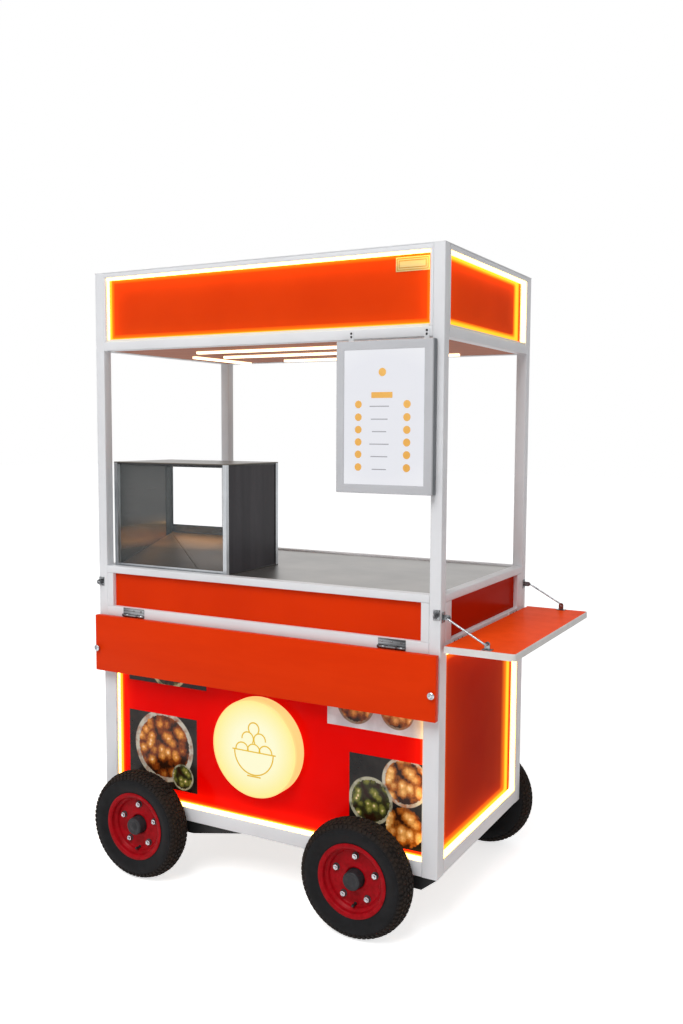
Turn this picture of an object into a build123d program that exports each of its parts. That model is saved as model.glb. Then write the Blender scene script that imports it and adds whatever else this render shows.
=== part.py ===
from build123d import *
import os

# A street-food cart: a tube frame on four wheels, with a lit header, a steel counter,
# a hanging front flap, a folding side shelf and a sliding-door cabinet at the back.
# Millimetres. +Z is up, the customer's side faces -Y, and the folding shelf is at +X.

# Body
body_width = 1288.0
body_depth = 764.0
lower_height = 672.0
band_height = 179.0
window_height = 737.0
header_height = 262.0
lower_side_inset = 6.0
lower_front_inset = 14.0

# Frame tubes
tube_wall = 2.0
upper_post = 36.0
lower_post = 50.0
rail_setback = 2.0
bottom_rail = 46.0
cabinet_top_rail = 40.0
hinge_rail = 40.0
counter_rail = 24.0
header_low_rail = 30.0
header_top_rail = 15.0
band_front_stile = 26.0
band_side_stile = 46.0
header_stile = 8.0

# Panels and lights
panel = 4.0
lit_recess = 24.0
band_recess = 15.0
roof_thickness = 3.0
ceiling_thickness = 6.0
ceiling_step = 2.0
led_width = 16.0
led_height = 7.0
led_side_thickness = 3.0
led_corner_gap = 1.0
light_bar_width = 18.0
light_bar_height = 8.0
light_row_right = 430.0
light_rows = ((-195.0, -352.0), (15.0, -388.0), (257.0, -280.0))
light_cross_x = -495.0
light_cross_y = (-25.0, 335.0)
driver_length = 180.0
driver_width = 60.0
driver_height = 40.0
driver_corner = 4.0
driver_x = -300.0
driver_y = 180.0

# Counter and cabinet
counter_sheet = 2.0
counter_drop = 5.0
counter_fold = 22.0
post_notch_gap = 1.0
floor_thickness = 12.0
floor_gap = 1.0

# Rear sliding doors
door_thickness = 12.0
door_play = 0.5
door_top_play = 2.0
door_overlap = 40.0
track_wall = 3.0
track_lip = 12.0
pull_length = 90.0
pull_width = 24.0
pull_depth = 6.0
pull_inset = 60.0

# Drop leaves and their hinges
leaf_board = 20.0
leaf_gap = 6.0
leaf_end_inset = 2.0
flap_drop = 194.0
shelf_reach = 214.0
edging = 2.5
leaf_corner = 12.0
hinge_rise = 14.0
hinge_length = 90.0
hinge_plate = 2.0
hinge_plate_height = 25.0
knuckle_radius = 5.0
knuckle_length = 30.0
knuckle_gap = 0.4
pin_radius = 2.0
pin_play = 0.05
flap_hinge_from_end = 154.0
shelf_hinge_from_end = 132.0
knob_radius = 11.0
knob_neck_radius = 7.0
knob_height = 12.0
knob_from_end = 14.0
knob_from_bottom = 79.0

# Stays and eye plates
stay_radius = 3.0
stay_bend = 5.0
stay_rise = 101.0
stay_reach = 131.0
stay_plane_gap = 10.0
stay_tip_gap = 1.0
stay_end_past_eye = 4.0
eye_thickness = 4.0
eye_radius = 8.0
eye_reach = 16.0
eye_play = 0.05
eye_base = 2.0
eye_base_width = 22.0
eye_base_height = 30.0
flap_eye_rise = 109.0
flap_eye_from_end = 12.0

# Menu box
menu_width = 308.0
menu_height = 441.0
menu_depth = 30.0
menu_wall = 2.0
menu_bezel = 26.0
menu_right_inset = 20.0
menu_drop = 7.0
menu_screen_sheet = 4.0
hook_width = 16.0
hook_plate = 2.0
hook_overlap = 24.0
hook_behind = 45.0
hook_from_edge = 33.0

# Round sign
sign_radius = 161.0
sign_depth = 45.0
sign_wall = 4.0
sign_x = 5.0
sign_rise = 301.0

# Display case
case_width = 474.0
case_depth = 314.0
case_height = 365.0
case_sheet = 3.0
case_post = 14.0
case_glass = 4.0
case_glass_setback = 2.0
case_corner_gap = 4.0
case_door_width = 242.0
case_door_height = 225.0
case_door_inset = 6.0
case_door_top_gap = 19.0

# Wheels and running gear
tyre_radius = 183.0
tyre_half_width = 42.5
sidewall_radius = 146.0
shoulder_radius = 174.0
shoulder_half_width = 33.0
carcass_wall = 9.0
groove_width = 5.0
groove_pitch = 20.0
groove_floor_radius = 177.0
bead_radius = 101.6
bead_half_width = 30.0
bead_top_radius = 116.0
flange_radius = 114.7
rim_sheet = 3.0
rim_flare = 1.5
rim_well_radius = 91.0
rim_well_half_width = 14.0
rim_well_slope = 4.0
rim_disc = 4.0
valve_slot_length = 34.0
valve_slot_width = 13.0
valve_slot_radius = 72.0
hub_radius = 29.0
hub_hole_gap = 1.0
hub_flange_radius = 48.0
hub_flange = 6.0
hub_inner_reach = 36.0
hub_outer_reach = 38.0
hub_cap = 6.0
hub_cap_chamfer = 4.0
spindle_radius = 12.5
spindle_play = 0.05
spindle_end_gap = 4.0
spindle_plate = 6.0
spindle_plate_length = 60.0
spindle_plate_height = 34.0
axle_drop = 18.0
wheel_offset = 46.0
left_beam_length = 580.0
right_beam_length = 440.0
beam_taper = 50.0
left_beam_inner_taper = 200.0
beam_height = 40.0
beam_width = 44.0
beam_sheet = 5.0
beam_end_inset = 1.0
beam_face_inset = 2.0
wheel_from_end = {
    "front_left": 211.0,
    "front_right": 243.0,
    "rear_left": 211.0,
    "rear_right": 157.0,
}

# Levels above the floor
axle_z = tyre_radius
body_z = axle_z + axle_drop
band_z = body_z + lower_height
counter_z = band_z + band_height
header_z = counter_z + window_height
top_z = header_z + header_height
roof_z = top_z - roof_thickness
cabinet_z = (body_z + bottom_rail, band_z - cabinet_top_rail)
band_opening_z = (band_z + hinge_rail, counter_z - counter_rail)
header_opening_z = (header_z + header_low_rail, roof_z - header_top_rail)
counter_surface_z = counter_z - counter_drop
ceiling_z = header_z + ceiling_step
hinge_z = band_z + hinge_rise

# Plan limits of the upper and the lower body
half_width = body_width / 2
half_depth = body_depth / 2
window_x = half_width - upper_post
window_y = half_depth - upper_post
rail_depth = upper_post - rail_setback
lower_x = half_width - lower_side_inset
lower_y = (-half_depth + lower_front_inset, half_depth)
cabinet_x = lower_x - lower_post
cabinet_y = (lower_y[0] + lower_post, lower_y[1] - lower_post)
lower_rail_depth = lower_post - rail_setback
band_opening_x = window_x - band_front_stile
band_opening_y = window_y - band_side_stile
header_opening_x = window_x - header_stile
header_opening_y = window_y - header_stile
wheel_y = half_depth + wheel_offset
wheel_x = {}
for corner, from_end in wheel_from_end.items():
    wheel_x[corner] = from_end - half_width if corner.endswith("left") else half_width - from_end

# Hinge lines stand off the rails by one knuckle; the shelf's tip is the cart's +X limit
flap_hinge_y = -half_depth - knuckle_radius
shelf_hinge_x = half_width + knuckle_radius
flap_hinge_x = half_width - flap_hinge_from_end
shelf_hinge_y = half_depth - shelf_hinge_from_end
shelf_tip_x = shelf_hinge_x + leaf_gap + shelf_reach

# The origin is on the floor, under the middle of the outline with the shelf raised
body_shift = (half_width - shelf_tip_x) / 2

os.makedirs("parts", exist_ok=True)


def save(piece, name):
    """Moves a finished piece to the cart's origin, labels it and writes it."""
    placed = piece.part.moved(Location((body_shift, 0, 0)))
    placed.label = name
    export_step(placed, f"parts/{name}.step")


def block(x, y, z):
    """Adds a block to the part being built, between low and high limits along each axis."""
    middle = tuple((low + high) / 2 for low, high in (x, y, z))
    size = tuple(high - low for low, high in (x, y, z))
    with Locations(middle):
        Box(*size)


def tube(plane, width, height, length):
    """Adds an open-ended rectangular tube that runs from the plane along its normal."""
    with BuildSketch(plane) as section:
        Rectangle(width, height)
        Rectangle(width - 2 * tube_wall, height - 2 * tube_wall, mode=Mode.SUBTRACT)
    extrude(section.sketch, amount=length)


def corner_posts(x, y, size, z):
    """Adds four corner posts inside the plan limits, between two levels."""
    for post_x in (-x + size / 2, x - size / 2):
        for post_y in (y[0] + size / 2, y[1] - size / 2):
            tube(Plane((post_x, post_y, z[0])), size, size, z[1] - z[0])


def long_rails(x, y, post, depth, z):
    """Adds a front and a back rail between corner posts, flush with their outer faces."""
    height = z[1] - z[0]
    middle_z = (z[0] + z[1]) / 2
    for rail_y in (y[0] + depth / 2, y[1] - depth / 2):
        end = Plane((-x + post, rail_y, middle_z), x_dir=(0, 1, 0), z_dir=(1, 0, 0))
        tube(end, depth, height, 2 * (x - post))


def rail_ring(x, y, post, depth, z):
    """Adds four rails between corner posts, flush with the posts' outer faces."""
    long_rails(x, y, post, depth, z)
    height = z[1] - z[0]
    middle_z = (z[0] + z[1]) / 2
    for rail_x in (-x + depth / 2, x - depth / 2):
        end = Plane((rail_x, y[0] + post, middle_z), x_dir=(1, 0, 0), z_dir=(0, 1, 0))
        tube(end, depth, height, y[1] - y[0] - 2 * post)


def stiles(front_width, side_width, z):
    """Adds eight stiles beside the upper posts, flush with the posts' outer faces."""
    for side in (-1, 1):
        for end in (-1, 1):
            front_x = end * (window_x - front_width / 2)
            front_y = side * (half_depth - rail_depth / 2)
            tube(Plane((front_x, front_y, z[0])), front_width, rail_depth, z[1] - z[0])
            side_x = side * (half_width - rail_depth / 2)
            side_y = end * (window_y - side_width / 2)
            tube(Plane((side_x, side_y, z[0])), rail_depth, side_width, z[1] - z[0])


def led_frame(plane, width, height):
    """Adds four LED strips round an opening; the plane is the middle of the reveal."""
    across = width - 2 * (led_side_thickness + led_corner_gap)
    with BuildSketch(plane) as strips:
        with GridLocations(0, height - led_height, 1, 2):
            Rectangle(across, led_height)
        with GridLocations(width - led_side_thickness, 0, 2, 1):
            Rectangle(led_side_thickness, height)
    extrude(strips.sketch, amount=led_width / 2, both=True)


def front_plane(x, y, z, side):
    """Gives a plane that faces the front (side -1) or the back (side 1)."""
    return Plane((x, y, z), x_dir=(-side, 0, 0), z_dir=(0, side, 0))


def side_plane(x, y, z, side):
    """Gives a plane that faces the left (side -1) or the right (side 1)."""
    return Plane((x, y, z), x_dir=(0, side, 0), z_dir=(side, 0, 0))


def between_rails(plane):
    """Gives a sheet outline that fills the upper ring of rails and clears the posts."""
    notch = 2 * (rail_setback + post_notch_gap)
    length = body_width - 2 * rail_depth
    depth = body_depth - 2 * rail_depth
    with BuildSketch(plane) as outline:
        Rectangle(length, depth)
        with GridLocations(length, depth, 2, 2):
            Rectangle(notch, notch, mode=Mode.SUBTRACT)
    return outline.sketch


# Frame
with BuildPart() as lower_posts:
    corner_posts(lower_x, lower_y, lower_post, (body_z, band_z))

with BuildPart() as lower_rails:
    rail_ring(lower_x, lower_y, lower_post, lower_rail_depth, (body_z, cabinet_z[0]))
    long_rails(lower_x, lower_y, lower_post, lower_rail_depth, (cabinet_z[1], band_z))

upper_y = (-half_depth, half_depth)
with BuildPart() as upper_posts:
    corner_posts(half_width, upper_y, upper_post, (band_z, roof_z))

with BuildPart() as counter_rails:
    rail_ring(half_width, upper_y, upper_post, rail_depth, (band_z, band_opening_z[0]))
    rail_ring(half_width, upper_y, upper_post, rail_depth, (band_opening_z[1], counter_z))

with BuildPart() as band_stiles:
    stiles(band_front_stile, band_side_stile, band_opening_z)

with BuildPart() as header_rails:
    rail_ring(half_width, upper_y, upper_post, rail_depth, (header_z, header_opening_z[0]))
    rail_ring(half_width, upper_y, upper_post, rail_depth, (header_opening_z[1], roof_z))

with BuildPart() as header_stiles:
    stiles(header_stile, header_stile, header_opening_z)

# Roof, ceiling and lights
with BuildPart() as roof_sheet:
    block((-half_width, half_width), upper_y, (roof_z, top_z))

with BuildPart() as ceiling_panel:
    extrude(between_rails(Plane.XY.offset(ceiling_z)), amount=ceiling_thickness)

light_z = (ceiling_z - light_bar_height, ceiling_z)
with BuildPart() as ceiling_lights:
    for row_y, row_left in light_rows:
        row = (row_y - light_bar_width / 2, row_y + light_bar_width / 2)
        block((row_left, light_row_right), row, light_z)
    cross = (light_cross_x - light_bar_width / 2, light_cross_x + light_bar_width / 2)
    block(cross, light_cross_y, light_z)

with BuildPart() as led_driver:
    with BuildSketch(Plane((driver_x, driver_y, ceiling_z + ceiling_thickness))):
        RectangleRounded(driver_length, driver_width, driver_corner)
    extrude(amount=driver_height)

# Lit header panels, recessed in their frames
header_panel_y = half_depth - lit_recess
with BuildPart() as header_long_panels:
    for low in (-header_panel_y, header_panel_y - panel):
        block((-header_opening_x, header_opening_x), (low, low + panel), header_opening_z)

header_panel_x = half_width - lit_recess
with BuildPart() as header_side_panels:
    for low in (-header_panel_x, header_panel_x - panel):
        block((low, low + panel), (-header_opening_y, header_opening_y), header_opening_z)

header_led_z = sum(header_opening_z) / 2
header_led_height = header_opening_z[1] - header_opening_z[0]
with BuildPart() as header_led_strips:
    for side in (-1, 1):
        long_reveal = front_plane(0, side * (half_depth - lit_recess / 2), header_led_z, side)
        led_frame(long_reveal, 2 * header_opening_x, header_led_height)
        side_reveal = side_plane(side * (half_width - lit_recess / 2), 0, header_led_z, side)
        led_frame(side_reveal, 2 * header_opening_y, header_led_height)

# Counter band
band_panel_y = half_depth - band_recess
with BuildPart() as band_long_panels:
    for low in (-band_panel_y, band_panel_y - panel):
        block((-band_opening_x, band_opening_x), (low, low + panel), band_opening_z)

band_panel_x = half_width - band_recess
with BuildPart() as band_side_panels:
    for low in (-band_panel_x, band_panel_x - panel):
        block((low, low + panel), (-band_opening_y, band_opening_y), band_opening_z)

# Steel counter: a sheet with its four edges folded down against the counter rails
with BuildPart() as countertop:
    extrude(between_rails(Plane.XY.offset(counter_surface_z)), amount=-counter_fold)
    underside = countertop.faces().sort_by(Axis.Z)[0]
    offset(amount=-counter_sheet, openings=underside)

# Cabinet panels, lights and floor
front_panel_y = lower_y[0] + lit_recess
with BuildPart() as lower_front_panel:
    block((-cabinet_x, cabinet_x), (front_panel_y, front_panel_y + panel), cabinet_z)

side_panel_x = lower_x - lit_recess
with BuildPart() as lower_side_panels:
    for low in (-side_panel_x, side_panel_x - panel):
        block((low, low + panel), cabinet_y, (cabinet_z[0], band_z))

cabinet_middle_y = sum(cabinet_y) / 2
cabinet_middle_z = sum(cabinet_z) / 2
cabinet_height = cabinet_z[1] - cabinet_z[0]
side_middle_z = (cabinet_z[0] + band_z) / 2
with BuildPart() as lower_led_strips:
    front_reveal = front_plane(0, lower_y[0] + lit_recess / 2, cabinet_middle_z, -1)
    led_frame(front_reveal, 2 * cabinet_x, cabinet_height)
    for side in (-1, 1):
        reveal_x = side * (lower_x - lit_recess / 2)
        side_reveal = side_plane(reveal_x, cabinet_middle_y, side_middle_z, side)
        led_frame(side_reveal, cabinet_y[1] - cabinet_y[0], band_z - cabinet_z[0])

groove = door_thickness + 2 * door_play
track_width = 2 * groove + 3 * track_wall
track_y = lower_y[1] - lower_rail_depth / 2
floor_back_y = track_y - track_width / 2 - floor_gap
with BuildPart() as cabinet_floor:
    floor_z = (cabinet_z[0], cabinet_z[0] + floor_thickness)
    block((-cabinet_x, cabinet_x), (front_panel_y + panel, floor_back_y), floor_z)

# Rear sliding doors in a double track, left door inside
with BuildPart() as door_tracks:
    for level, up in ((cabinet_z[0], 1), (cabinet_z[1], -1)):
        with BuildSketch(Plane((-cabinet_x, track_y, level), x_dir=(0, 1, 0), z_dir=(1, 0, 0))):
            with Locations((0, up * track_wall / 2)):
                Rectangle(track_width, track_wall)
            with Locations((0, up * track_lip / 2)):
                with GridLocations(groove + track_wall, 0, 3, 1):
                    Rectangle(track_wall, track_lip)
        extrude(amount=2 * cabinet_x)

door_width = cabinet_x + door_overlap / 2 - door_play
door_z = (cabinet_z[0] + track_wall, cabinet_z[1] - track_wall - door_top_play)


def rear_door(side, row):
    """Adds one sliding door with a recessed finger pull; side and row are -1 or 1."""
    edge = side * (cabinet_x - door_play)
    inner_edge = edge - side * door_width
    middle_y = track_y + row * (groove + track_wall) / 2
    face_y = middle_y + door_thickness / 2
    block(sorted((edge, inner_edge)), (middle_y - door_thickness / 2, face_y), door_z)
    pull_x = edge - side * pull_inset
    pull_plane = Plane((pull_x, face_y, sum(door_z) / 2), x_dir=(0, 0, 1), z_dir=(0, 1, 0))
    with BuildSketch(pull_plane) as pull:
        SlotOverall(pull_length, pull_width)
    extrude(pull.sketch, amount=-pull_depth, mode=Mode.SUBTRACT)


with BuildPart() as rear_door_left:
    rear_door(-1, -1)

with BuildPart() as rear_door_right:
    rear_door(1, 1)

# Butt hinge: pin along X, fixed plate up against the rail at +Y, moving plate hanging
with BuildPart() as fixed_half:
    with BuildSketch(Plane.YZ):
        Circle(knuckle_radius)
        with Locations((knuckle_radius - hinge_plate / 2, hinge_plate_height / 2)):
            Rectangle(hinge_plate, hinge_plate_height)
    extrude(amount=hinge_length / 2, both=True)
    with Locations((0, 0, (leaf_gap - knuckle_radius) / 2)):
        Box(knuckle_length, 2 * knuckle_radius, knuckle_radius + leaf_gap, mode=Mode.SUBTRACT)
    with BuildSketch(Plane.YZ):
        Circle(pin_radius)
    extrude(amount=hinge_length / 2, both=True)

with BuildPart() as moving_half:
    with BuildSketch(Plane.YZ):
        Circle(knuckle_radius)
        with Locations((hinge_plate / 2, -leaf_gap / 2)):
            Rectangle(hinge_plate, leaf_gap)
    extrude(amount=knuckle_length / 2 - knuckle_gap, both=True)
    with BuildSketch(Plane.YZ):
        with Locations((hinge_plate / 2, -leaf_gap - hinge_plate_height / 2)):
            Rectangle(hinge_plate, hinge_plate_height)
    extrude(amount=hinge_length / 2, both=True)
    with BuildSketch(Plane.YZ):
        Circle(pin_radius + pin_play)
    extrude(amount=hinge_length / 2, both=True, mode=Mode.SUBTRACT)

flap_hinges = []
shelf_hinges = []
raised_plates = []
for side in (-1, 1):
    flap_point = (side * flap_hinge_x, flap_hinge_y, hinge_z)
    shelf_point = (shelf_hinge_x, side * shelf_hinge_y, hinge_z)
    flap_hinges.append(Plane(flap_point))
    shelf_hinges.append(Plane(shelf_point, x_dir=(0, 1, 0), z_dir=(0, 0, 1)))
    raised_plates.append(Plane(shelf_point, x_dir=(0, 1, 0), z_dir=(-1, 0, 0)))

with BuildPart() as drop_leaf_hinges:
    with Locations(*flap_hinges, *shelf_hinges):
        add(fixed_half.part)

# Front flap, hanging
flap_top_z = hinge_z - leaf_gap
flap_bottom_z = flap_top_z - flap_drop
flap_front_y = flap_hinge_y - leaf_board
flap_half_width = half_width - leaf_end_inset
with BuildPart() as front_flap:
    block((-flap_half_width, flap_half_width), (flap_front_y, flap_hinge_y), (flap_bottom_z, flap_top_z))

with BuildPart() as flap_leaves:
    with Locations(*flap_hinges):
        add(moving_half.part)

with BuildPart() as flap_knobs:
    knob_z = flap_bottom_z + knob_from_bottom
    for side in (-1, 1):
        knob_x = side * (half_width - knob_from_end)
        with BuildSketch(front_plane(knob_x, flap_front_y, knob_z, -1)):
            Circle(knob_neck_radius)
        extrude(amount=knob_height)
        with BuildSketch(front_plane(knob_x, flap_front_y - knob_height / 2, knob_z, -1)):
            Circle(knob_radius)
        extrude(amount=knob_height / 2)

# Side shelf, raised, with edging on its three free edges
shelf_root_x = shelf_hinge_x + leaf_gap
shelf_half_length = half_depth - leaf_end_inset


def shelf_outline(trim):
    """Gives the shelf's outline, drawn in by trim along its three free edges."""
    reach = shelf_reach - trim
    corner = leaf_corner - trim
    with BuildSketch(Plane((shelf_root_x, 0, hinge_z))) as outline:
        Rectangle(reach, 2 * (shelf_half_length - trim), align=(Align.MIN, Align.CENTER))
        fillet(outline.vertices().group_by(Axis.X)[-1], radius=corner)
    return outline.sketch


with BuildPart() as side_shelf:
    extrude(shelf_outline(edging), amount=leaf_board)

with BuildPart() as shelf_edging:
    extrude(shelf_outline(0), amount=leaf_board)
    extrude(shelf_outline(edging), amount=leaf_board, mode=Mode.SUBTRACT)

with BuildPart() as shelf_leaves:
    with Locations(*raised_plates):
        add(moving_half.part)

# Eye plate: base on its mounting face at y = 0, ear towards -Y, hole along X
with BuildPart() as eye_plate:
    with BuildSketch(Plane.XZ):
        Rectangle(eye_base_width, eye_base_height)
    extrude(amount=eye_base)
    with BuildSketch(Plane.YZ):
        with Locations((-eye_reach, 0)):
            Circle(eye_radius)
        with Locations((-eye_reach / 2, 0)):
            Rectangle(eye_reach, 2 * eye_radius)
    extrude(amount=eye_thickness / 2, both=True)
    with BuildSketch(Plane.YZ):
        with Locations((-eye_reach, 0)):
            Circle(stay_radius + eye_play)
    extrude(amount=eye_thickness, both=True, mode=Mode.SUBTRACT)

stay_pivot_x = half_width + eye_reach
stay_pivot_z = hinge_z + stay_rise
stay_tip_x = shelf_hinge_x + stay_reach
shelf_top_z = hinge_z + leaf_board
stay_tip_z = shelf_top_z + eye_reach
eye_y = half_depth - upper_post / 2

bracket_planes = []
shelf_eye_planes = []
for side in (-1, 1):
    flap_eye = (side * (half_width - flap_eye_from_end), -half_depth, hinge_z + flap_eye_rise)
    stay_eye = (half_width, side * eye_y, stay_pivot_z)
    shelf_eye = (stay_tip_x, side * eye_y, shelf_top_z)
    bracket_planes.append(Plane(flap_eye))
    bracket_planes.append(Plane(stay_eye, x_dir=(0, 1, 0), z_dir=(0, 0, 1)))
    shelf_eye_planes.append(Plane(shelf_eye, x_dir=(0, 1, 0), z_dir=(-1, 0, 0)))

with BuildPart() as stay_brackets:
    with Locations(*bracket_planes):
        add(eye_plate.part)

with BuildPart() as shelf_eyes:
    with Locations(*shelf_eye_planes):
        add(eye_plate.part)


def stay(side):
    """Adds a bent rod: through the post's eye, down, and in towards the shelf's eye."""
    eye_face = eye_y + eye_thickness / 2
    rod_y = side * (eye_face + stay_plane_gap)
    end_y = side * (eye_y - eye_thickness / 2 - stay_end_past_eye)
    tip_y = side * (eye_face + stay_tip_gap)
    corners = (
        (stay_pivot_x, end_y, stay_pivot_z),
        (stay_pivot_x, rod_y, stay_pivot_z),
        (stay_tip_x, rod_y, stay_tip_z),
        (stay_tip_x, tip_y, stay_tip_z),
    )
    with BuildLine() as path:
        FilletPolyline(*corners, radius=stay_bend)
    with BuildSketch(path.line ^ 0) as section:
        Circle(stay_radius)
    sweep(section.sketch, path=path.line)


with BuildPart() as front_stay:
    stay(-1)

with BuildPart() as rear_stay:
    stay(1)

# Menu box, hung in front of the header's lower rail
menu_x = (half_width - menu_right_inset - menu_width, half_width - menu_right_inset)
menu_z = (header_z - menu_drop - menu_height, header_z - menu_drop)
menu_back_y = -half_depth - hook_plate
menu_front_y = menu_back_y - menu_depth
menu_middle = (sum(menu_x) / 2, sum(menu_z) / 2)
with BuildPart() as menu_case:
    block(menu_x, (menu_front_y, menu_back_y), menu_z)
    with BuildSketch(front_plane(menu_middle[0], menu_back_y - menu_wall, menu_middle[1], -1)):
        Rectangle(menu_width - 2 * menu_wall, menu_height - 2 * menu_wall)
    extrude(amount=menu_depth - 2 * menu_wall, mode=Mode.SUBTRACT)
    with BuildSketch(front_plane(menu_middle[0], menu_front_y, menu_middle[1], -1)):
        Rectangle(menu_width - 2 * menu_bezel, menu_height - 2 * menu_bezel)
    extrude(amount=-2 * menu_wall, mode=Mode.SUBTRACT)

with BuildPart() as menu_screen:
    with BuildSketch(front_plane(menu_middle[0], menu_front_y + menu_wall, menu_middle[1], -1)):
        Rectangle(menu_width - 2 * menu_wall, menu_height - 2 * menu_wall)
    extrude(amount=-menu_screen_sheet)

hook_z = (menu_z[1] - hook_behind, header_z + hook_overlap)
with BuildPart() as menu_hooks:
    for hook_x in (menu_x[0] + hook_from_edge, menu_x[1] - hook_from_edge):
        hook_span = (hook_x - hook_width / 2, hook_x + hook_width / 2)
        block(hook_span, (menu_back_y, -half_depth), hook_z)

# Round sign on the front panel: an open drum closed by a lit face
sign_plane = front_plane(sign_x, front_panel_y, body_z + sign_rise, -1)
with BuildPart() as sign_drum:
    with BuildSketch(sign_plane):
        Circle(sign_radius)
    extrude(amount=sign_depth)
    with BuildSketch(sign_plane.offset(sign_wall)):
        Circle(sign_radius - sign_wall)
    extrude(amount=sign_depth, mode=Mode.SUBTRACT)

with BuildPart() as sign_face:
    with BuildSketch(sign_plane.offset(sign_depth - sign_wall)):
        Circle(sign_radius - sign_wall)
    extrude(amount=sign_wall)

# Display case on the counter: sheet floor, left and back walls, glass at front and right
case_x = (-window_x + case_corner_gap, -window_x + case_corner_gap + case_width)
case_front_y = -half_depth + rail_depth + case_corner_gap
case_y = (case_front_y, case_front_y + case_depth)
case_floor_z = counter_surface_z + case_sheet
case_top_z = counter_surface_z + case_height
case_wall_z = (case_floor_z, case_top_z - case_sheet)
with BuildPart() as case_body:
    block(case_x, case_y, (counter_surface_z, case_floor_z))
    block((case_x[0], case_x[0] + case_sheet), (case_y[0] + case_post, case_y[1]), case_wall_z)
    block((case_x[0], case_x[1] - case_post), (case_y[1] - case_sheet, case_y[1]), case_wall_z)
    hatch_x = case_x[0] + case_door_inset + case_door_width / 2
    hatch_z = case_wall_z[1] - case_door_top_gap - case_door_height / 2
    with BuildSketch(front_plane(hatch_x, case_y[1], hatch_z, 1)):
        Rectangle(case_door_width, case_door_height)
    extrude(amount=-case_sheet, mode=Mode.SUBTRACT)

with BuildPart() as case_top:
    block(case_x, case_y, (case_wall_z[1], case_top_z))

post_places = (
    (case_x[0], case_y[0]),
    (case_x[1] - case_post, case_y[0]),
    (case_x[1] - case_post, case_y[1] - case_post),
)
with BuildPart() as case_posts:
    for post_x, post_y in post_places:
        block((post_x, post_x + case_post), (post_y, post_y + case_post), case_wall_z)

glass_front_y = case_y[0] + case_glass_setback
with BuildPart() as case_front_glass:
    glass_x = (case_x[0] + case_post, case_x[1] - case_post)
    block(glass_x, (glass_front_y, glass_front_y + case_glass), case_wall_z)

glass_side_x = case_x[1] - case_glass_setback
with BuildPart() as case_side_glass:
    glass_y = (case_y[0] + case_post, case_y[1] - case_post)
    block((glass_side_x - case_glass, glass_side_x), glass_y, case_wall_z)

# Running gear: pressed axle beams with their webs outwards, and stub axles bolted to the webs
beam_face_y = {
    "front": lower_y[0] + beam_face_inset,
    "rear": lower_y[1] - beam_face_inset,
}
outward = {"front": -1, "rear": 1}


def beam_section(plane, end, trim):
    """Gives a beam's outline, tapered to both ends, in along plane x from end, drawn in by trim."""
    length = left_beam_length if end < 0 else right_beam_length
    inner_taper = left_beam_inner_taper if end < 0 else beam_taper
    high = body_z - trim
    low = body_z - beam_height + trim
    inward = -end * plane.x_dir.X
    top = (inward * trim, inward * (length - trim))
    bottom = (inward * (beam_taper + trim), inward * (length - inner_taper - trim))
    with BuildSketch(plane) as outline:
        with BuildLine():
            Polyline((top[0], high), (top[1], high), (bottom[1], low), (bottom[0], low), close=True)
        make_face()
    return outline.sketch


with BuildPart() as axle_beams:
    for row, face_y in beam_face_y.items():
        for end in (-1, 1):
            end_x = end * (lower_x - beam_end_inset)
            face = front_plane(end_x, face_y, 0, outward[row])
            extrude(beam_section(face, end, 0), amount=-beam_width)
            extrude(
                beam_section(face.offset(-beam_sheet), end, beam_sheet),
                amount=-beam_width,
                mode=Mode.SUBTRACT,
            )

with BuildPart() as spindles:
    for corner, corner_x in wheel_x.items():
        row = corner.split("_")[0]
        face = front_plane(corner_x, beam_face_y[row], axle_z, outward[row])
        with BuildSketch(face):
            Rectangle(spindle_plate_length, spindle_plate_height)
        extrude(amount=spindle_plate)
        end_y = wheel_y + hub_outer_reach - hub_cap - spindle_end_gap
        with BuildSketch(face):
            Circle(spindle_radius)
        extrude(amount=end_y - abs(beam_face_y[row]))

# Wheel sections: x is the distance out from the wheel's middle plane, y the radius
rim_flange_x = bead_half_width + rim_flare
rim_slope_x = rim_well_half_width + rim_well_slope
rim_half = (
    (rim_well_half_width + rim_flare, rim_well_radius - rim_sheet),
    (rim_slope_x + rim_flare, bead_radius - rim_sheet),
    (bead_half_width + rim_sheet, bead_radius - rim_sheet),
    (rim_flange_x + rim_sheet, flange_radius),
    (rim_flange_x, flange_radius),
    (bead_half_width, bead_radius),
    (rim_slope_x, bead_radius),
    (rim_well_half_width, rim_well_radius),
)
rim_points = (
    (0, hub_radius + hub_hole_gap),
    (rim_disc, hub_radius + hub_hole_gap),
    (rim_disc, rim_well_radius - rim_sheet),
    *rim_half,
    *[(-out, radius) for out, radius in reversed(rim_half)],
    (0, rim_well_radius - rim_sheet),
)
hub_points = (
    (-hub_inner_reach, spindle_radius + spindle_play),
    (-hub_inner_reach, hub_radius),
    (-hub_flange, hub_radius),
    (-hub_flange, hub_flange_radius),
    (0, hub_flange_radius),
    (0, hub_radius),
    (hub_outer_reach - hub_cap_chamfer, hub_radius),
    (hub_outer_reach, hub_radius - hub_cap_chamfer),
    (hub_outer_reach, 0),
    (hub_outer_reach - hub_cap, 0),
    (hub_outer_reach - hub_cap, spindle_radius + spindle_play),
)
inner_bead = bead_half_width - carcass_wall
inner_side = tyre_half_width - carcass_wall
inner_shoulder = shoulder_half_width - carcass_wall
inner_top = shoulder_radius - carcass_wall

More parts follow.
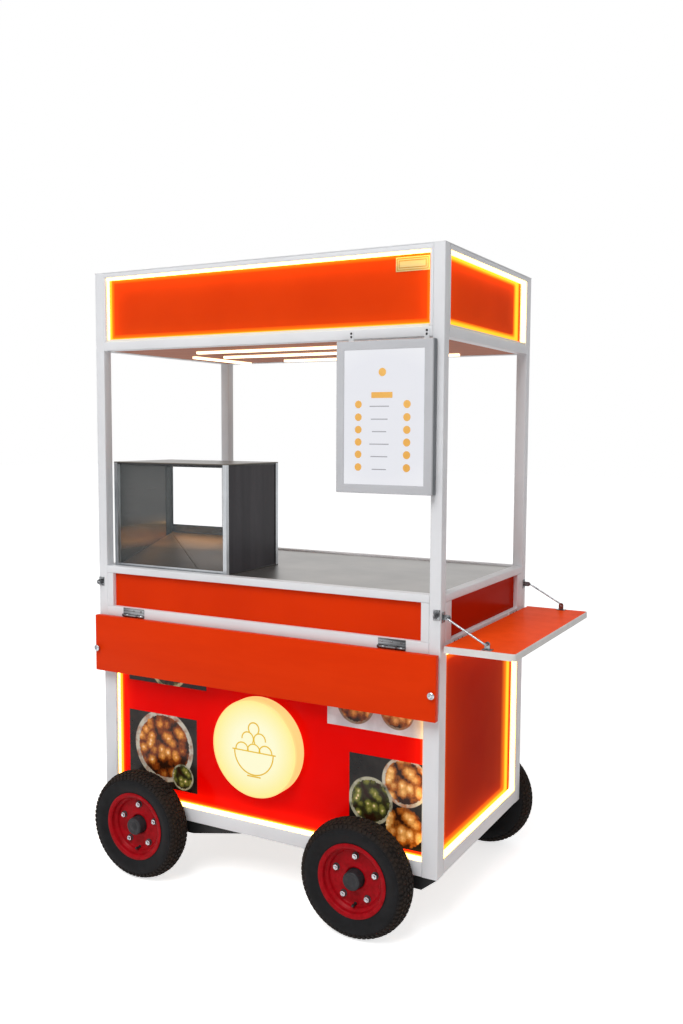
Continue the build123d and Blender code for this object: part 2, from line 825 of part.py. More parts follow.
for corner, corner_x in wheel_x.items():
    side = outward[corner.split("_")[0]]
    centre = (corner_x, side * wheel_y, axle_z)
    section = Plane(centre, x_dir=(0, side, 0), z_dir=(side, 0, 0))
    axle = Axis(centre, (0, 1, 0))

    with BuildPart() as tyre:
        with BuildSketch(section):
            with BuildLine():
                Polyline(
                    (-bead_half_width, bead_top_radius),
                    (-bead_half_width, bead_radius),
                    (-inner_bead, bead_radius),
                    (-inner_bead, bead_top_radius),
                    (-inner_side, sidewall_radius),
                    (-inner_shoulder, inner_top),
                    (inner_shoulder, inner_top),
                    (inner_side, sidewall_radius),
                    (inner_bead, bead_top_radius),
                    (inner_bead, bead_radius),
                    (bead_half_width, bead_radius),
                    (bead_half_width, bead_top_radius),
                )
                ThreePointArc(
                    (bead_half_width, bead_top_radius),
                    (tyre_half_width, sidewall_radius),
                    (shoulder_half_width, shoulder_radius),
                )
                ThreePointArc(
                    (shoulder_half_width, shoulder_radius),
                    (0, tyre_radius),
                    (-shoulder_half_width, shoulder_radius),
                )
                ThreePointArc(
                    (-shoulder_half_width, shoulder_radius),
                    (-tyre_half_width, sidewall_radius),
                    (-bead_half_width, bead_top_radius),
                )
            make_face()
        revolve(axis=axle)
        with BuildSketch(section):
            with Locations((0, groove_floor_radius)):
                with GridLocations(groove_pitch, 0, 2, 1):
                    Rectangle(groove_width, carcass_wall, align=(Align.CENTER, Align.MIN))
        revolve(axis=axle, mode=Mode.SUBTRACT)
    save(tyre, f"{corner}_tyre")

    with BuildPart() as rim:
        with BuildSketch(section):
            with BuildLine():
                Polyline(*rim_points, close=True)
            make_face()
        revolve(axis=axle)
        with BuildSketch(front_plane(*centre, side)):
            with Locations((0, -valve_slot_radius)):
                SlotOverall(valve_slot_length, valve_slot_width)
        extrude(amount=rim_disc, mode=Mode.SUBTRACT)
    save(rim, f"{corner}_rim")

    with BuildPart() as hub:
        with BuildSketch(section):
            with BuildLine():
                Polyline(*hub_points, close=True)
            make_face()
        revolve(axis=axle)
    save(hub, f"{corner}_hub")

save(lower_posts, "lower_posts")
save(lower_rails, "lower_rails")
save(upper_posts, "upper_posts")
save(counter_rails, "counter_rails")
save(band_stiles, "band_stiles")
save(header_rails, "header_rails")
save(header_stiles, "header_stiles")
save(roof_sheet, "roof_sheet")
save(ceiling_panel, "ceiling_panel")
save(ceiling_lights, "ceiling_lights")
save(led_driver, "led_driver")
save(header_long_panels, "header_long_panels")
save(header_side_panels, "header_side_panels")
save(header_led_strips, "header_led_strips")
save(band_long_panels, "band_long_panels")
save(band_side_panels, "band_side_panels")
save(countertop, "countertop")
save(lower_front_panel, "lower_front_panel")
save(lower_side_panels, "lower_side_panels")
save(lower_led_strips, "lower_led_strips")
save(cabinet_floor, "cabinet_floor")
save(door_tracks, "door_tracks")
save(rear_door_left, "rear_door_left")
save(rear_door_right, "rear_door_right")
save(drop_leaf_hinges, "drop_leaf_hinges")
save(front_flap, "front_flap")
save(flap_leaves, "flap_leaves")
save(flap_knobs, "flap_knobs")
save(side_shelf, "side_shelf")
save(shelf_edging, "shelf_edging")
save(shelf_leaves, "shelf_leaves")
save(stay_brackets, "stay_brackets")
save(shelf_eyes, "shelf_eyes")
save(front_stay, "front_stay")
save(rear_stay, "rear_stay")
save(menu_case, "menu_case")
save(menu_screen, "menu_screen")
save(menu_hooks, "menu_hooks")
save(sign_drum, "sign_drum")
save(sign_face, "sign_face")
save(case_body, "case_body")
save(case_top, "case_top")
save(case_posts, "case_posts")
save(case_front_glass, "case_front_glass")
save(case_side_glass, "case_side_glass")
save(axle_beams, "axle_beams")
save(spindles, "spindles")
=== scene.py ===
"""A street-food cart dressed for the eye: finishes, fine pieces, soft light and the camera."""
import logging
import math
from dataclasses import KW_ONLY, dataclass, field
from enum import Enum
from typing import Any, Iterable, Sequence

import bmesh
import bpy
from mathutils import Matrix, Vector


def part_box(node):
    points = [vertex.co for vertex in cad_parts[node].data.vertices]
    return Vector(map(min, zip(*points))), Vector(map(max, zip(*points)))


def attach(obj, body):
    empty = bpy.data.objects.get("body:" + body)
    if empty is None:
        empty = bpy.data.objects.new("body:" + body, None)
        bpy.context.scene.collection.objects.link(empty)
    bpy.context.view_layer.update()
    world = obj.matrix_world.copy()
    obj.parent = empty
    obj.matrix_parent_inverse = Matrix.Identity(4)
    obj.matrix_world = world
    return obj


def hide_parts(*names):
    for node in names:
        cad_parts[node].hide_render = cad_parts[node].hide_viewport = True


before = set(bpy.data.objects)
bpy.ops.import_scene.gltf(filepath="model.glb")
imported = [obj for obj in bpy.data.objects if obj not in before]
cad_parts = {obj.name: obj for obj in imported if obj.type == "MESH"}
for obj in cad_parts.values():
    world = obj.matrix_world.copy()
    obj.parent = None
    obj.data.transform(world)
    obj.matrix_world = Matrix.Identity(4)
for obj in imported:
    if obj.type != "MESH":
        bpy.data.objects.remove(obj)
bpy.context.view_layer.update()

LOG = logging.getLogger("cart")
MM = 0.001
# Points nearer than this, in metres, are taken as one.
NEAR = 2e-6
FORWARD = Vector((0.0, -1.0, 0.0))
BACKWARD = Vector((0.0, 1.0, 0.0))
RIGHT = Vector((1.0, 0.0, 0.0))
UP = Vector((0.0, 0.0, 1.0))
Point = tuple[float, float]
Triple = tuple[float, float, float]
Tree = bpy.types.NodeTree
Node = bpy.types.Node
Socket = bpy.types.NodeSocket
Source = Node | Socket
Piece = bpy.types.Object


class Axis(Enum):
    """The three directions of the cart's frame."""

    X = 0
    Y = 1
    Z = 2


class Corner(Enum):
    """The four wheels, by their place under the cart."""

    FRONT_LEFT = "front_left"
    FRONT_RIGHT = "front_right"
    REAR_LEFT = "rear_left"
    REAR_RIGHT = "rear_right"

    @property
    def outward(self) -> Vector:
        """Gives the direction in which this wheel's outer side faces."""
        return Vector((0.0, -1.0 if self.value.startswith("front") else 1.0, 0.0))


def linear(colour: str) -> tuple[float, float, float, float]:
    """Turns an sRGB hex colour into linear RGBA.

    Args:
        colour: Six hex digits, such as "E04414".

    Returns:
        The linear colour with an alpha of one.
    """
    values = [int(colour[place:place + 2], 16) / 255.0 for place in (0, 2, 4)]
    tones = [v / 12.92 if v <= 0.04045 else ((v + 0.055) / 1.055) ** 2.4 for v in values]
    return (tones[0], tones[1], tones[2], 1.0)


def add_node(
    tree: Tree,
    kind: str,
    settings: dict[str, Any] | None = None,
    inputs: dict[str | int, Any] | None = None,
) -> Node:
    """Adds a shader node with its settings, values and links.

    Args:
        tree: The node tree that takes the node.
        kind: The node's type name, without the words that every shader node starts with.
        settings: Properties of the node; "stops" gives a colour ramp's places and colours.
        inputs: Values, hex colours, output sockets, or nodes that stand for their first output,
            by the input's name or number.

    Returns:
        The new node.
    """
    node = tree.nodes.new(f"ShaderNode{kind}")
    for name, value in (settings or {}).items():
        if name == "stops":
            while len(node.color_ramp.elements) < len(value):
                node.color_ramp.elements.new(0.5)
            for element, (place, colour) in zip(node.color_ramp.elements, value):
                element.position = place
                element.color = linear(colour)
        else:
            setattr(node, name, value)
    for name, value in (inputs or {}).items():
        socket = node.inputs[name]
        if isinstance(value, Node):
            value = value.outputs[0]
        if isinstance(value, Socket):
            tree.links.new(value, socket)
        else:
            socket.default_value = linear(value) if isinstance(value, str) else value
    return node


def once(items: Iterable[Any]) -> list[Any]:
    """Gives the items without repeats, in the order in which they came."""
    return list(dict.fromkeys(items))


def per(millimetres: float) -> float:
    """Gives the texture scale whose features are about that many millimetres apart."""
    return 1.0 / (millimetres * MM)


@dataclass(frozen=True)
class Finish:
    """A material by its common name; each kind of finish paints its own nodes."""

    title: str

    def paint(self, tree: Tree, place: Socket) -> Node:
        """Adds the nodes of the finish and returns its shader."""
        raise NotImplementedError

    def tint(self, tree: Tree, place: Socket, colour: Node) -> Source:
        """Leaves the colour as it is; a kind of finish may change it."""
        return colour

    def material(self) -> bpy.types.Material:
        """Gives the material, made once and then shared by all its pieces.

        Returns:
            The material.
        """
        found = bpy.data.materials.get(self.title)
        if found is not None:
            return found
        made = bpy.data.materials.new(self.title)
        made.use_nodes = True
        tree = made.node_tree
        tree.nodes.clear()
        place = add_node(tree, "TexCoord").outputs["Object"]
        add_node(tree, "OutputMaterial", inputs={"Surface": self.paint(tree, place)})
        return made

    def dress(self, *names: str) -> list[Piece]:
        """Puts the material on CAD nodes that keep their own shape.

        Args:
            *names: The nodes to dress.

        Returns:
            The nodes' objects.
        """
        pieces = [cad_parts[name] for name in names]
        for piece in pieces:
            for slot in piece.material_slots:
                slot.material = self.material()
        return pieces


@dataclass(frozen=True)
class PowderCoat(Finish):
    """Sprayed and baked powder on steel: even, satin, with a fine orange peel."""

    colour: str
    shade: str
    roughness: float = 0.42
    peel_mm: float = 2.6
    sheen: float = 0.3
    cloud_mm: float = 240.0

    def paint(self, tree: Tree, place: Socket) -> Node:
        """Adds the nodes of the finish.

        Args:
            tree: The material's node tree.
            place: The Object coordinates.

        Returns:
            The shader.
        """
        # Real peel is nearer 1 mm; it is drawn coarser so that it shows at all.
        peel = add_node(tree, "TexNoise", inputs={
            "Vector": place, "Scale": per(self.peel_mm), "Detail": 2.0})
        cloud = add_node(tree, "TexNoise", inputs={
            "Vector": place, "Scale": per(self.cloud_mm), "Detail": 5.0})
        tone = add_node(
            tree, "ValToRGB", {"stops": ((0.3, self.shade), (0.62, self.colour))}, {"Fac": cloud})
        gloss = add_node(tree, "MapRange", inputs={
            "Value": cloud, "To Min": self.roughness + 0.06, "To Max": self.roughness - 0.06})
        bump = add_node(tree, "Bump", inputs={"Height": peel, "Strength": 0.1, "Distance": 0.0004})
        return add_node(tree, "BsdfPrincipled", inputs={
            "Base Color": tone, "IOR": 1.5, "Specular IOR Level": self.sheen, "Roughness": gloss,
            "Normal": bump})


@dataclass(frozen=True)
class GlossSheet(Finish):
    """Cast acrylic sheet: deep colour under a clear polished face that is never quite flat."""

    colour: str
    shade: str
    roughness: float = 0.1
    sheen: float = 0.16
    _: KW_ONLY
    cloud_mm: float = 320.0
    wipe_mm: float = 35.0
    wave_mm: float = 170.0

    def paint(self, tree: Tree, place: Socket) -> Node:
        """Adds the nodes of the finish.

        Args:
            tree: The material's node tree.
            place: The Object coordinates.

        Returns:
            The shader.
        """
        cloud = add_node(tree, "TexNoise", inputs={
            "Vector": place, "Scale": per(self.cloud_mm), "Detail": 3.0})
        tone = add_node(
            tree, "ValToRGB", {"stops": ((0.3, self.shade), (0.6, self.colour))}, {"Fac": cloud})
        wipe = add_node(tree, "TexNoise", inputs={
            "Vector": place, "Scale": per(self.wipe_mm), "Detail": 6.0, "Roughness": 0.7})
        gloss = add_node(tree, "MapRange", inputs={
            "Value": wipe, "To Min": self.roughness - 0.04, "To Max": self.roughness + 0.08})
        wave = add_node(tree, "TexNoise", inputs={
            "Vector": place, "Scale": per(self.wave_mm), "Detail": 1.0})
        bump = add_node(tree, "Bump", inputs={"Height": wave, "Strength": 0.06, "Distance": 0.003})
        return add_node(tree, "BsdfPrincipled", inputs={
            "Base Color": tone, "IOR": 1.49, "Specular IOR Level": self.sheen, "Roughness": gloss,
            "Normal": bump})


@dataclass(frozen=True)
class PaintedLedGlowSheet(GlossSheet):
    """Cast acrylic with a painted glow round its edges: emission that stands in for the LED strip's
    reflection and spill light, fading inwards.
    """

    node: str = ""
    across: Axis = Axis.X
    bright_mm: float = 6.0
    reach_mm: float = 120.0
    spread: float = 1.0
    shift_mm: Point = (0.0, 0.0)
    rim: str = "FFDC34"
    glow: str = "DC7A10"
    fade: str = "4A1803"

    def paint(self, tree: Tree, place: Socket) -> Node:
        """Adds the nodes of the finish.

        Args:
            tree: The material's node tree.
            place: The Object coordinates.

        Returns:
            The shader.
        """
        shader = super().paint(tree, place)
        low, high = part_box(self.node)
        half = (high - low) / 2
        middle = (low + high) / 2
        for axis, shift in zip((self.across, Axis.Z), self.shift_mm):
            middle[axis.value] += shift * MM
        centred = add_node(tree, "Mapping", inputs={"Vector": place, "Location": -middle})
        split = add_node(tree, "SeparateXYZ", inputs={"Vector": centred})
        inward = []
        for axis, share in ((self.across, 1.0 / self.spread), (Axis.Z, 1.0)):
            away = add_node(tree, "Math", {"operation": "ABSOLUTE"}, {0: split.outputs[axis.value]})
            inward.append(add_node(tree, "Math", {"operation": "MULTIPLY_ADD"}, {
                0: away.outputs["Value"], 1: -share, 2: half[axis.value] * share}))
        nearest = add_node(tree, "Math", {"operation": "SMOOTH_MIN"}, {
            0: inward[0], 1: inward[1], 2: self.bright_mm * MM})
        depth = add_node(tree, "MapRange", inputs={
            "Value": nearest, "From Max": self.reach_mm * MM})
        edge = self.bright_mm / self.reach_mm
        # Painted light: this ramp paints the strip's reflection as a bright rim and its spill as a
        # glow that fades inwards.
        light = add_node(tree, "ValToRGB",
                         {"stops": ((0.0, self.fade), (edge * 0.4, self.rim), (edge, self.rim),
                                    (edge * 1.5, self.glow), (0.3, self.fade), (0.6, "1E0A01"),
                                    (1.0, "000000"))},
                         {"Fac": depth})
        tree.links.new(light.outputs["Color"], shader.inputs["Emission Color"])
        shader.inputs["Emission Strength"].default_value = 1.0
        return shader


@dataclass(frozen=True)
class Laminate(Finish):
    """Decor laminate pressed on board: plain colour, fine pearl texture, satin gloss."""

    colour: str
    shade: str
    roughness: float = 0.4
    pearl_mm: float = 1.4
    streak: float = 1.0
    sheen: float = 0.12
    cloud_mm: float = 60.0

    def paint(self, tree: Tree, place: Socket) -> Node:
        """Adds the nodes of the finish.

        Args:
            tree: The material's node tree.
            place: The Object coordinates.

        Returns:
            The shader.
        """
        along = add_node(tree, "Mapping", inputs={
            "Vector": place, "Scale": (1.0 / self.streak, 1.0, 1.0)})
        cloud = add_node(tree, "TexNoise", inputs={
            "Vector": along, "Scale": per(self.cloud_mm), "Detail": 8.0, "Roughness": 0.65})
        tone = add_node(
            tree, "ValToRGB", {"stops": ((0.28, self.shade), (0.6, self.colour))}, {"Fac": cloud})
        # Pearl texture is about 0.5 mm on the real sheet, drawn coarser to show.
        pearl = add_node(tree, "TexVoronoi", {"feature": "SMOOTH_F1"}, {
            "Vector": place, "Scale": per(self.pearl_mm)})
        bump = add_node(tree, "Bump", inputs={
            "Height": pearl, "Strength": 0.12, "Distance": 0.0003})
        gloss = add_node(tree, "MapRange", inputs={
            "Value": cloud, "To Min": self.roughness + 0.04, "To Max": self.roughness - 0.04})
        return add_node(tree, "BsdfPrincipled", inputs={
            "Base Color": tone, "IOR": 1.5, "Specular IOR Level": self.sheen, "Roughness": gloss,
            "Normal": bump})


@dataclass(frozen=True)
class LedDiffuser(Finish):
    """Silicone LED strip: a warm glow, a little stronger over each diode, in a white channel."""

    hot: str = "FFD66E"
    cool: str = "FFCE5E"
    strength: float = 5.8
    pitch_mm: float = 16.7
    node: str = ""
    panel: str = ""
    side_panel: str = ""
    lip_mm: float = 3.0
    wide_lip_mm: float = 3.6
    dark_foot_mm: float = 0.0
    channel: str = "E6E2D8"

    def paint(self, tree: Tree, place: Socket) -> Node:
        """Adds the nodes of the finish.

        Args:
            tree: The material's node tree.
            place: The Object coordinates.

        Returns:
            The shader.
        """
        # A diagonal band has a period of 2 pi / 10 units along each axis at scale one.
        diodes = add_node(tree, "TexWave", {"bands_direction": "DIAGONAL"}, {
            "Vector": place, "Scale": math.tau / 10.0 * per(self.pitch_mm)})
        glow = add_node(tree, "ValToRGB", {"stops": ((0.0, self.cool), (1.0, self.hot))}, {
            "Fac": diodes.outputs["Fac"]})
        return add_node(tree, "BsdfPrincipled", inputs={
            "Base Color": self.channel, "Roughness": 0.5, "IOR": 1.41, "Specular IOR Level": 0.2,
            "Emission Color": glow, "Emission Strength": self.power(tree, place)})

    def power(self, tree: Tree, place: Socket) -> float | Node:
        """Gives the light's strength, which stops where the channel has an outer lip.

        Args:
            tree: The material's node tree.
            place: The Object coordinates.

        Returns:
            The strength, or the node that works it out.
        """
        if not self.node:
            return self.strength
        low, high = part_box(self.node)
        long_low, long_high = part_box(self.panel)
        lip, wide_lip = self.lip_mm * MM, self.wide_lip_mm * MM
        middle = (low.x + high.x) / 2
        centred = add_node(tree, "Mapping", inputs={
            "Vector": place, "Location": (-middle, 0.0, 0.0)})
        mirrored = add_node(tree, "VectorMath", {"operation": "ABSOLUTE"}, {0: centred})
        halves = add_node(tree, "SeparateXYZ", inputs={"Vector": mirrored})
        whole = add_node(tree, "SeparateXYZ", inputs={"Vector": place})
        tests = (
            (halves.outputs["Y"], "LESS_THAN", -low.y - lip),
            (halves.outputs["X"], "LESS_THAN", (long_high.x - long_low.x) / 2 - wide_lip),
            (halves.outputs["X"], "LESS_THAN", (high.x - low.x) / 2 - lip),
            (whole.outputs["Y"], "GREATER_THAN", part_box(self.side_panel)[0].y + wide_lip),
            (whole.outputs["Z"], "GREATER_THAN", low.z + self.dark_foot_mm * MM),
        )
        behind_front, level, behind_side, beyond, raised = (
            add_node(tree, "Math", {"operation": kind}, {0: value, 1: limit})
            for value, kind, limit in tests)
        # The lip hides the upright strips' front edges and the feet of the header's strips.
        front = add_node(tree, "Math", {"operation": "MAXIMUM"}, {0: behind_front, 1: level})
        side = add_node(tree, "Math", {"operation": "MAXIMUM"}, {0: behind_side, 1: beyond})
        share = self.strength
        for bare in (front, side, raised):
            share = add_node(tree, "Math", {"operation": "MULTIPLY"}, {0: bare, 1: share})
        return share


@dataclass(frozen=True)
class BrushedMetal(Finish):
    """Sheet or bar metal brushed one way: fine streaks that stretch its reflections."""

    colour: str
    shade: str
    roughness: float = 0.3
    grain: tuple[Axis, ...] = (Axis.X,)
    streak_mm: float = 1.2
    metal: float = 1.0
    smear: float = 40.0
    cloud_mm: float = 140.0

    def paint(self, tree: Tree, place: Socket) -> Node:
        """Adds the nodes of the finish.

        Args:
            tree: The material's node tree.
            place: The Object coordinates.

        Returns:
            The shader.
        """
        stretch = [1.0, 1.0, 1.0]
        for axis in self.grain:
            stretch[axis.value] = 1.0 / self.smear
        along = add_node(tree, "Mapping", inputs={"Vector": place, "Scale": stretch})
        # Real brush lines are under 0.2 mm; they are drawn coarser so that they show.
        lines = add_node(tree, "TexNoise", inputs={
            "Vector": along, "Scale": per(self.streak_mm), "Detail": 1.5})
        cloud = add_node(tree, "TexNoise", inputs={
            "Vector": place, "Scale": per(self.cloud_mm), "Detail": 4.0})
        both = add_node(tree, "Math", {"operation": "MULTIPLY"}, {0: lines, 1: cloud})
        tone = add_node(
            tree, "ValToRGB", {"stops": ((0.12, self.shade), (0.36, self.colour))}, {"Fac": both})
        gloss = add_node(tree, "MapRange", inputs={
            "Value": lines, "To Min": self.roughness - 0.08, "To Max": self.roughness + 0.1})
        bump = add_node(tree, "Bump", inputs={
            "Height": lines, "Strength": 0.06, "Distance": 0.0004})
        return add_node(tree, "BsdfPrincipled", inputs={
            "Base Color": self.tint(tree, place, tone), "Metallic": self.metal, "Roughness": gloss,
            "Normal": bump})


@dataclass(frozen=True)
class PaintedReflectionSteel(BrushedMetal):
    """Stainless steel with a painted warm reflection: a level band of yellow-brown tint round the
    display case's tray.
    """

    painted_reflection: str = "EAB060"
    node: str = "case_body"
    skin_mm: Point = (0.8, 3.6)
    foot_mm: float = 1050.0
    band_mm: Point = (1128.0, 1156.0)
    head_mm: float = 1215.0
    patch_mm: float = 90.0

    def tint(self, tree: Tree, place: Socket, colour: Node) -> Source:
        """Mixes a level band of painted warm reflection into the inner faces of the metal.

        Args:
            tree: The material's node tree.
            place: The Object coordinates.
            colour: The colour that is changed.

        Returns:
            The new colour.
        """
        level = add_node(tree, "Mapping", inputs={"Vector": place, "Scale": (0.5, 0.5, 1.0)})
        cloud = add_node(tree, "TexNoise", inputs={
            "Vector": level, "Scale": per(self.patch_mm), "Detail": 2.0})
        split = add_node(tree, "SeparateXYZ", inputs={"Vector": place})
        height = add_node(tree, "MapRange", inputs={
            "Value": split.outputs["Z"], "From Min": self.foot_mm * MM,
            "From Max": self.head_mm * MM})
        lower, upper = ((z - self.foot_mm) / (self.head_mm - self.foot_mm) for z in self.band_mm)
        band = add_node(tree, "ValToRGB",
                        {"stops": ((0.0, "3C3C3C"), (lower * 0.6, "585858"), (lower, "FFFFFF"),
                                   (upper, "FFFFFF"), (upper + 0.2, "404040"), (1.0, "000000"))},
                        {"Fac": height})
        patches = add_node(tree, "MapRange", inputs={
            "Value": cloud, "From Min": 0.3, "From Max": 0.55, "To Min": 0.35})
        share = add_node(tree, "Math", {"operation": "MULTIPLY"}, {0: band, 1: patches})
        low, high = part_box(self.node)
        for axis, skin in zip((Axis.X, Axis.Y), self.skin_mm):
            middle = (low[axis.value] + high[axis.value]) / 2
            reach = (high[axis.value] - low[axis.value]) / 2 - skin * MM
            inside = add_node(tree, "Math", {"operation": "COMPARE"}, {
                0: split.outputs[axis.value], 1: middle, 2: reach})
            share = add_node(tree, "Math", {"operation": "MULTIPLY"}, {0: share, 1: inside})
        # Painted reflection: the yellow-brown tint mixed into the steel's colour.
        return add_node(tree, "Mix", {"data_type": "RGBA"}, {
            0: share, 6: colour, 7: self.painted_reflection}).outputs[2]


@dataclass(frozen=True)
class Chrome(Finish):
    """Bright plating on steel: nearly a mirror, with a trace of handling."""

    colour: str = "C9CCD0"
    shade: str = "9A9EA4"
    roughness: float = 0.14
    smudge_mm: float = 9.0

    def paint(self, tree: Tree, place: Socket) -> Node:
        """Adds the nodes of the finish.

        Args:
            tree: The material's node tree.
            place: The Object coordinates.

        Returns:
            The shader.
        """
        smudge = add_node(tree, "TexNoise", inputs={
            "Vector": place, "Scale": per(self.smudge_mm), "Detail": 5.0})
        tone = add_node(
            tree, "ValToRGB", {"stops": ((0.32, self.shade), (0.6, self.colour))}, {"Fac": smudge})
        gloss = add_node(tree, "MapRange", inputs={
            "Value": smudge, "To Min": self.roughness + 0.1, "To Max": self.roughness - 0.08})
        return add_node(tree, "BsdfPrincipled", inputs={
            "Base Color": tone, "Metallic": 1.0, "Roughness": gloss})


@dataclass(frozen=True)
class TyreRubber(Finish):
    """Moulded tyre rubber: charcoal, matte, with brown road dust worked into the tread."""

    colour: str = "19191B"
    shade: str = "111112"
    dust: str = "302721"
    sheen: float = 0.1
    cloud_mm: float = 28.0
    skin_mm: float = 3.0

    def paint(self, tree: Tree, place: Socket) -> Node:
        """Adds the nodes of the finish.

        Args:
            tree: The material's node tree.
            place: The Object coordinates.

        Returns:
            The shader.
        """
        cloud = add_node(tree, "TexNoise", inputs={
            "Vector": place, "Scale": per(self.cloud_mm), "Detail": 6.0, "Roughness": 0.65})
        black = add_node(
            tree, "ValToRGB", {"stops": ((0.35, self.shade), (0.65, self.colour))}, {"Fac": cloud})
        tread = add_node(tree, "Attribute", {"attribute_name": "dust"})
        patches = add_node(tree, "MapRange", inputs={
            "Value": cloud, "From Min": 0.34, "From Max": 0.62, "To Min": 0.1, "To Max": 1.0})
        spread = add_node(tree, "Math", {"operation": "MULTIPLY"}, {
            0: patches, 1: tread.outputs["Fac"]})
        tone = add_node(tree, "Mix", {"data_type": "RGBA"}, {0: spread, 6: black, 7: self.dust})
        skin = add_node(tree, "TexNoise", inputs={
            "Vector": place, "Scale": per(self.skin_mm), "Detail": 4.0})
        bump = add_node(tree, "Bump", inputs={"Height": skin, "Strength": 0.22, "Distance": 0.0008})
        gloss = add_node(tree, "MapRange", inputs={"Value": spread, "To Min": 0.56, "To Max": 0.9})
        return add_node(tree, "BsdfPrincipled", inputs={
            "Base Color": tone.outputs[2], "IOR": 1.52, "Specular IOR Level": self.sheen,
            "Roughness": gloss, "Normal": bump})


@dataclass(frozen=True)
class GlossPaint(Finish):
    """Stove enamel on pressed steel: wet gloss with runs, dulled by dust in places."""

    colour: str
    shade: str
    roughness: float = 0.28
    dull: float = 0.25
    sheen: float = 0.3
    cloud_mm: float = 22.0
    run_mm: float = 8.0

    def paint(self, tree: Tree, place: Socket) -> Node:
        """Adds the nodes of the finish.

        Args:
            tree: The material's node tree.
            place: The Object coordinates.

        Returns:
            The shader.
        """
        cloud = add_node(tree, "TexNoise", inputs={
            "Vector": place, "Scale": per(self.cloud_mm), "Detail": 6.0, "Roughness": 0.6})
        tone = add_node(
            tree, "ValToRGB", {"stops": ((0.32, self.shade), (0.58, self.colour))}, {"Fac": cloud})
        gloss = add_node(tree, "MapRange", inputs={
            "Value": cloud, "To Min": self.roughness + self.dull, "To Max": self.roughness - 0.1})
        runs = add_node(tree, "TexNoise", inputs={
            "Vector": place, "Scale": per(self.run_mm), "Detail": 2.0})
        bump = add_node(tree, "Bump", inputs={"Height": runs, "Strength": 0.16, "Distance": 0.0008})
        return add_node(tree, "BsdfPrincipled", inputs={
            "Base Color": self.tint(tree, place, tone), "IOR": 1.52,
            "Specular IOR Level": self.sheen, "Roughness": gloss, "Normal": bump})


@dataclass(frozen=True)
class RimEnamel(GlossPaint):
    """Red enamel of a rim, covered with near-black painted shade on the side that faces the cart.
    """

    node: str = "front_left_rim"
    painted_shade: str = "0D0B0B"
    skin_mm: float = 1.5

    def tint(self, tree: Tree, place: Socket, colour: Node) -> Source:
        """Covers the enamel behind the rim's disc with painted shade.

        Args:
            tree: The material's node tree.
            place: The Object coordinates.
            colour: The colour that is changed.

        Returns:
            The new colour.
        """
        low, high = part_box(self.node)
        split = add_node(tree, "SeparateXYZ", inputs={"Vector": place})
        away = add_node(tree, "Math", {"operation": "ABSOLUTE"}, {0: split.outputs["Y"]})
        # Painted shade: faces nearer the cart's middle than the disc take the near-black colour.
        inner = add_node(tree, "Math", {"operation": "LESS_THAN"}, {
            0: away.outputs["Value"], 1: abs(low.y + high.y) / 2 + self.skin_mm * MM})
        return add_node(tree, "Mix", {"data_type": "RGBA"}, {
            0: inner, 6: colour, 7: self.painted_shade}).outputs[2]


@dataclass(frozen=True)
class LitAcrylic(Finish):
    """Opal acrylic lit from behind: bright in the middle, softer towards its edge."""

    centre: Triple
    reach_mm: float
    middle: str
    edge: str
    strength: float
    unlit: str
    roughness: float = 0.3

    def paint(self, tree: Tree, place: Socket) -> Node:
        """Adds the nodes of the finish.

        Args:
            tree: The material's node tree.
            place: The Object coordinates.

        Returns:
            The shader.
        """
        centred = add_node(tree, "Mapping", inputs={
            "Vector": place, "Location": [-v for v in self.centre]})
        away = add_node(tree, "VectorMath", {"operation": "LENGTH"}, {0: centred})
        share = add_node(tree, "MapRange", inputs={
            "Value": away.outputs["Value"], "From Max": self.reach_mm * MM})
        glow = add_node(
            tree, "ValToRGB", {"stops": ((0.55, self.middle), (1.0, self.edge))}, {"Fac": share})
        return add_node(tree, "BsdfPrincipled", inputs={
            "Base Color": self.unlit, "IOR": 1.49, "Specular IOR Level": 0.2,
            "Roughness": self.roughness, "Emission Color": glow,
            "Emission Strength": self.strength})


@dataclass(frozen=True)
class SheetGlass(Finish):
    """Float glass: what shows is its tint and the sheen of its face."""

    colour: str
    shade: str
    cover: float
    roughness: float
    sheen: float = 0.5
    smear_mm: float = 60.0
    smear_rise: float = 12.5

    def paint(self, tree: Tree, place: Socket) -> Node:
        """Adds the nodes of the finish.

        Args:
            tree: The material's node tree.
            place: The Object coordinates.

        Returns:
            The shader.
        """
        upright = add_node(tree, "Mapping", inputs={
            "Vector": place, "Scale": (1.0, 1.0, 1.0 / self.smear_rise)})
        smear = add_node(tree, "TexNoise", inputs={
            "Vector": upright, "Scale": per(self.smear_mm), "Detail": 4.0})
        tone = add_node(
            tree, "ValToRGB", {"stops": ((0.35, self.shade), (0.65, self.colour))}, {"Fac": smear})
        gloss = add_node(tree, "MapRange", inputs={
            "Value": smear, "To Min": self.roughness, "To Max": self.roughness + 0.12})
        return add_node(tree, "BsdfPrincipled", inputs={
            "Base Color": tone, "IOR": 1.52, "Specular IOR Level": self.sheen, "Roughness": gloss,
            "Alpha": self.cover})


